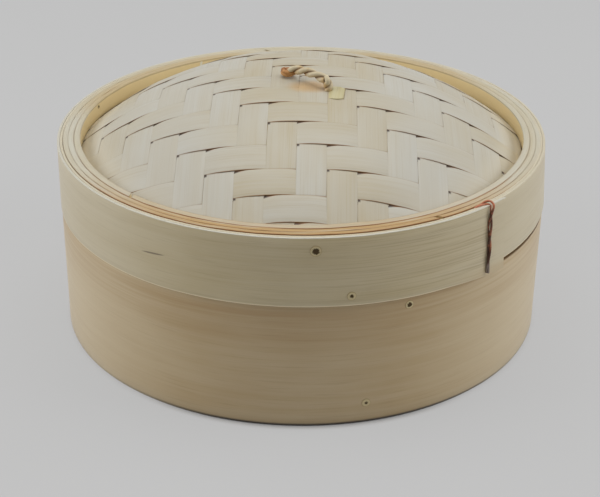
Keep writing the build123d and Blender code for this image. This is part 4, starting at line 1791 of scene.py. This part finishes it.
@dataclass
class Handle:
    """The twisted loop on the dome, the knot at its one end and the tail at its other end."""

    rules: Rules
    strand: float = 1.4 * MM
    twist: float = 1.05 * MM
    rise: float = 1.5 * MM
    turns: float = -1.6
    loop_points: int = 8
    loop_short: float = 1.2 * MM
    coil_radius: float = 3.0 * MM
    coil_flat: float = 0.75
    coil_turns: float = 1.75
    coil_points: int = 24
    coil_rise: float = 2.2 * MM
    coil_drop: float = 2.6 * MM
    coil_strand: float = 1.0 * MM
    coil_twist: float = 0.45 * MM
    # Along the axis past the loop's end, and up from the axis.
    tail_path: tuple[Span, ...] = (
        (-1.6 * MM, 0.4 * MM), (0.2 * MM, -0.4 * MM), (0.4 * MM, -2.2 * MM)
    )
    tab_length: float = 13.4 * MM
    tab_width: float = 8.6 * MM
    tab_thickness: float = 0.9 * MM
    tab_crown: float = 0.5 * MM
    tab_offset: Point = (4.4 * MM, -4.0 * MM, -5.7 * MM)
    tab_turn: float = -0.1
    tab_tilt: float = -0.1

    def build(self) -> None:
        """Build and fit the loop, the knot and the tail."""
        joint = next(j for j in frame["joints"] if j["name"] == "handle_swing")
        self.centre = Vector(joint["pos_m"])
        self.axis = Vector(joint["axis"]).normalized()
        self.across = self.axis.cross(Vector((0.0, 0.0, 1.0)))
        low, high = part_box("handle_knot")
        knot = Vector(((low.x + high.x) / 2, (low.y + high.y) / 2, self.centre.z))
        self.half = (knot - self.centre).length
        straw = StrandFinish(
            "handle_straw", clean=paint(198, 184, 152), patch=paint(190, 160, 112),
            groove_shade=paint(104, 66, 30), end=paint(150, 110, 66), groove_reach=2.3 * MM,
            patch_length=4 * MM, patch_span=(0.5, 0.75),
        ).material()
        brown = StrandFinish(
            "knot_straw", clean=paint(190, 138, 82), patch=paint(150, 96, 50),
            groove_shade=paint(90, 52, 26), end=paint(198, 184, 152), groove_reach=0.9 * MM,
            patch_length=4 * MM, end_from=0.9,
        ).material()
        self.build_loop(straw)
        self.build_knot(brown)
        self.build_tail(straw)
        self.build_tab()

    def at(self, along: float, up: float, side: float = 0.0) -> Vector:
        """A point by its place along the loop's axis, above it and beside it."""
        return self.centre + self.axis * along + Vector((0.0, 0.0, up)) + self.across * side

    def strands(
        self, name: str, finish: bpy.types.Material, points: Sequence[Vector], **sizes: float
    ) -> bpy.types.Object:
        """Two strands twisted evenly along a line.

        Args:
            name: The piece's name.
            finish: Its finish.
            points: The line.
            **sizes: The strands' sizes, turns and phase, and the number of steps.

        Returns:
            The strands, as one object.
        """
        return self.rules.twist.run(
            name, finish, points, joined=True, slack=0.0, flat=1.0, **sizes
        )

    def build_loop(self, finish: bpy.types.Material) -> None:
        """The loop: two strands twisted along a low arch.

        Args:
            finish: The loop's finish.
        """
        count = self.loop_points
        shares = [i / count for i in range(-count, count + 1)]
        reach = self.half - self.loop_short
        points = [self.at(s * reach, self.rise * (1 - s * s)) for s in shares]
        loop = self.strands(
            "handle_strands", finish, points, steps=90, strand=self.strand, twist=self.twist,
            turns=self.turns, phase=0.4,
        )
        fit(loop, Body.HANDLE, Slot.HANDLE, "handle_loop")

    def build_knot(self, finish: bpy.types.Material) -> None:
        """The knot: a strand coiled flat round the loop's end, then down through the weave.

        Args:
            finish: The knot's finish.
        """
        low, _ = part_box("handle_knot")
        points = []
        for i in range(self.coil_points + 1):
            share = i / self.coil_points
            angle = self.coil_turns * TURN * share
            along = -self.half + self.coil_radius * math.cos(angle)
            up = self.coil_rise * (1 - share) - self.coil_drop
            side = self.coil_radius * self.coil_flat * math.sin(angle)
            points.append(self.at(along, up, side))
        points.append(self.at(-self.half, low.z - self.centre.z))
        knot = self.strands(
            "knot_strands", finish, points, steps=120, strand=self.coil_strand,
            twist=self.coil_twist, turns=3.0, phase=1.0,
        )
        fit(knot, Body.LID, Slot.HANDLE, "handle_knot")

    def build_tail(self, finish: bpy.types.Material) -> None:
        """The tail: strands that go down through the weave.

        Args:
            finish: The tail's finish.
        """
        low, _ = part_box("handle_tail")
        points = [self.at(self.half + past, up) for past, up in self.tail_path]
        points.append(self.at(self.half, low.z - self.centre.z))
        strands = self.strands(
            "tail_strands", finish, points, steps=60, strand=self.strand, twist=self.twist,
            turns=1.2, phase=1.0,
        )
        fit(strands, Body.LID, Slot.HANDLE, "handle_tail")

    def build_tab(self) -> None:
        """The tail's flat end, which lies on the weave's slope."""
        ochre = BambooFinish(
            "tail_bamboo",
            pale=paint(192, 186, 152), tan=paint(184, 172, 126),
            fibre=paint(130, 100, 58), edge=paint(84, 56, 28), edge_strength=0.7,
        ).material()
        tab = self.rules.strip.run(
            "tail_tab", ochre, steps=16, columns=6, place=0.0, width=self.tab_width,
            thickness=self.tab_thickness, bevel=0.4 * MM, wobble=0.4 * MM,
            radius=self.tab_length / 2, crown=self.tab_crown, top=0.0, turn=0.0,
            tone=0.0, seed=3.0, **FLAT,
        )
        place = Matrix.Translation(self.at(self.half, 0.0) + Vector(self.tab_offset))
        turn = Matrix.Rotation(TURN / 4 + self.tab_turn, 4, "Z")
        tilt = Matrix.Rotation(self.tab_tilt, 4, "Y")
        tab.data.transform(place @ turn @ tilt)
        fit(tab, Body.LID, Slot.HANDLE, "handle_tail")


@dataclass(frozen=True)
class SoftBox:
    """A square lamp: its place, its side and its power."""

    name: str
    place: Point
    side: float
    power: float


def backdrop_rays(canvas: Canvas) -> Quantity:
    """1 for rays that show the backdrop: from the camera, off gloss and through glass.

    Args:
        canvas: The tree of the world or the floor.

    Returns:
        1 or 0.
    """
    path = canvas.add("ShaderNodeLightPath")
    kinds = ("Camera", "Glossy", "Transmission")
    camera, glossy, through = (canvas.take(path, f"Is {kind} Ray") for kind in kinds)
    return canvas.most(canvas.most(camera, glossy), through)


@dataclass
class Studio:
    """The floor, the light and the camera.

    The floor glows like the backdrop by the share `glow`, so that only a soft shadow shows on it,
    and wholly from `far` on. Over `contact`, round the foot, the shadow is full in front and has
    the share `contact_side` elsewhere.
    """

    backdrop: Colour = paint(192, 192, 192)
    lens: float = 85.39
    sensor: float = 36.0
    place: Point = (-0.7 * MM, -693.6 * MM, 395.0 * MM)
    pitch: float = 0.484187
    roll: float = 0.00537
    ambient: float = 0.22
    glow: float = 0.78
    paper: float = 0.55
    floor_half: float = 4.0
    contact: Span = (126.4 * MM, 130.5 * MM)
    contact_front: Span = (-95 * MM, -122 * MM)
    contact_side: float = 0.35
    far: Span = (0.6, 2.0)
    target: Point = (0.0, 0.0, 0.07)
    boxes: tuple[SoftBox, ...] = (
        SoftBox("top_box", (0.0, 0.2, 1.5), 1.3, 11.9),
        SoftBox("left_box", (-1.35, -0.05, 0.75), 1.0, 11.5),
        SoftBox("right_box", (1.35, -0.05, 0.75), 1.0, 11.5),
    )

    def build(self) -> None:
        """Set up everything that isn't part of the object."""
        bpy.context.scene.view_settings.view_transform = "Standard"
        self.build_world()
        self.build_floor()
        self.build_lamps()
        self.build_camera()

    def build_world(self) -> None:
        """A plain grey world, which the camera sees as the backdrop."""
        world = bpy.data.worlds.new("studio_world")
        world.use_nodes = True
        bpy.context.scene.world = world
        canvas = Canvas(world.node_tree)
        white = {"Color": (1.0, 1.0, 1.0, 1.0), "Strength": self.ambient}
        light = canvas.add("ShaderNodeBackground", white)
        grey = {"Color": (*self.backdrop, 1.0), "Strength": 1.0}
        view = canvas.add("ShaderNodeBackground", grey)
        surface = canvas.mix_shaders(backdrop_rays(canvas), light, view)
        canvas.add("ShaderNodeOutputWorld", {"Surface": surface})

    def build_floor(self) -> None:
        """A plain pale floor that keeps a soft shadow, deepest where the basket stands."""
        half = self.floor_half
        mesh = bpy.data.meshes.new("floor")
        square = [(-half, -half, 0.0), (half, -half, 0.0), (half, half, 0.0), (-half, half, 0.0)]
        mesh.from_pydata(square, [], [(0, 1, 2, 3)])
        floor = bpy.data.objects.new("floor", mesh)
        bpy.context.scene.collection.objects.link(floor)
        material = bpy.data.materials.new("floor_paper")
        material.use_nodes = True
        canvas = Canvas(material.node_tree)
        x, y, _ = canvas.parts(canvas.place())
        out = canvas.math("SQRT", x * x + y * y)
        front = canvas.step(*self.contact_front, y) * (1.0 - self.contact_side)
        under = (1.0 - canvas.step(*self.contact, out)) * (front + self.contact_side)
        veil = canvas.step(*self.far, out) * (1.0 - self.glow) + self.glow
        veil = backdrop_rays(canvas) * (1.0 - under) * veil
        paper = canvas.add("ShaderNodeBsdfDiffuse", {"Color": (*(self.paper,) * 3, 1.0)})
        grey = {"Color": (*self.backdrop, 1.0), "Strength": 1.0}
        glow = canvas.add("ShaderNodeEmission", grey)
        surface = canvas.mix_shaders(veil, paper, glow)
        canvas.add("ShaderNodeOutputMaterial", {"Surface": surface})
        mesh.materials.append(material)

    def build_lamps(self) -> None:
        """Soft boxes above, at the left and at the right."""
        for box in self.boxes:
            data = bpy.data.lights.new(box.name, "AREA")
            data.shape = "SQUARE"
            data.size = box.side
            data.energy = box.power
            lamp = bpy.data.objects.new(box.name, data)
            lamp.location = box.place
            aim = Vector(self.target) - Vector(box.place)
            lamp.rotation_euler = aim.to_track_quat("-Z", "Y").to_euler()
            bpy.context.scene.collection.objects.link(lamp)

    def build_camera(self) -> None:
        """The photograph's point of view."""
        data = bpy.data.cameras.new("camera")
        data.lens = self.lens
        data.sensor_width = self.sensor
        camera = bpy.data.objects.new("camera", data)
        tilt = Matrix.Rotation(TURN / 4 - self.pitch, 4, "X")
        roll = Matrix.Rotation(self.roll, 4, "Z")
        camera.matrix_world = Matrix.Translation(self.place) @ tilt @ roll
        bpy.context.scene.collection.objects.link(camera)
        bpy.context.scene.camera = camera


def main() -> None:
    """Build the steamer and its studio."""
    logging.basicConfig(level=logging.INFO, format="%(message)s")
    rules = Rules()
    for assembly in (Basket(rules), LidRim(rules), WovenDome(rules), Handle(rules)):
        assembly.build()
    Studio().build()


if __name__ == "__main__":
    main()
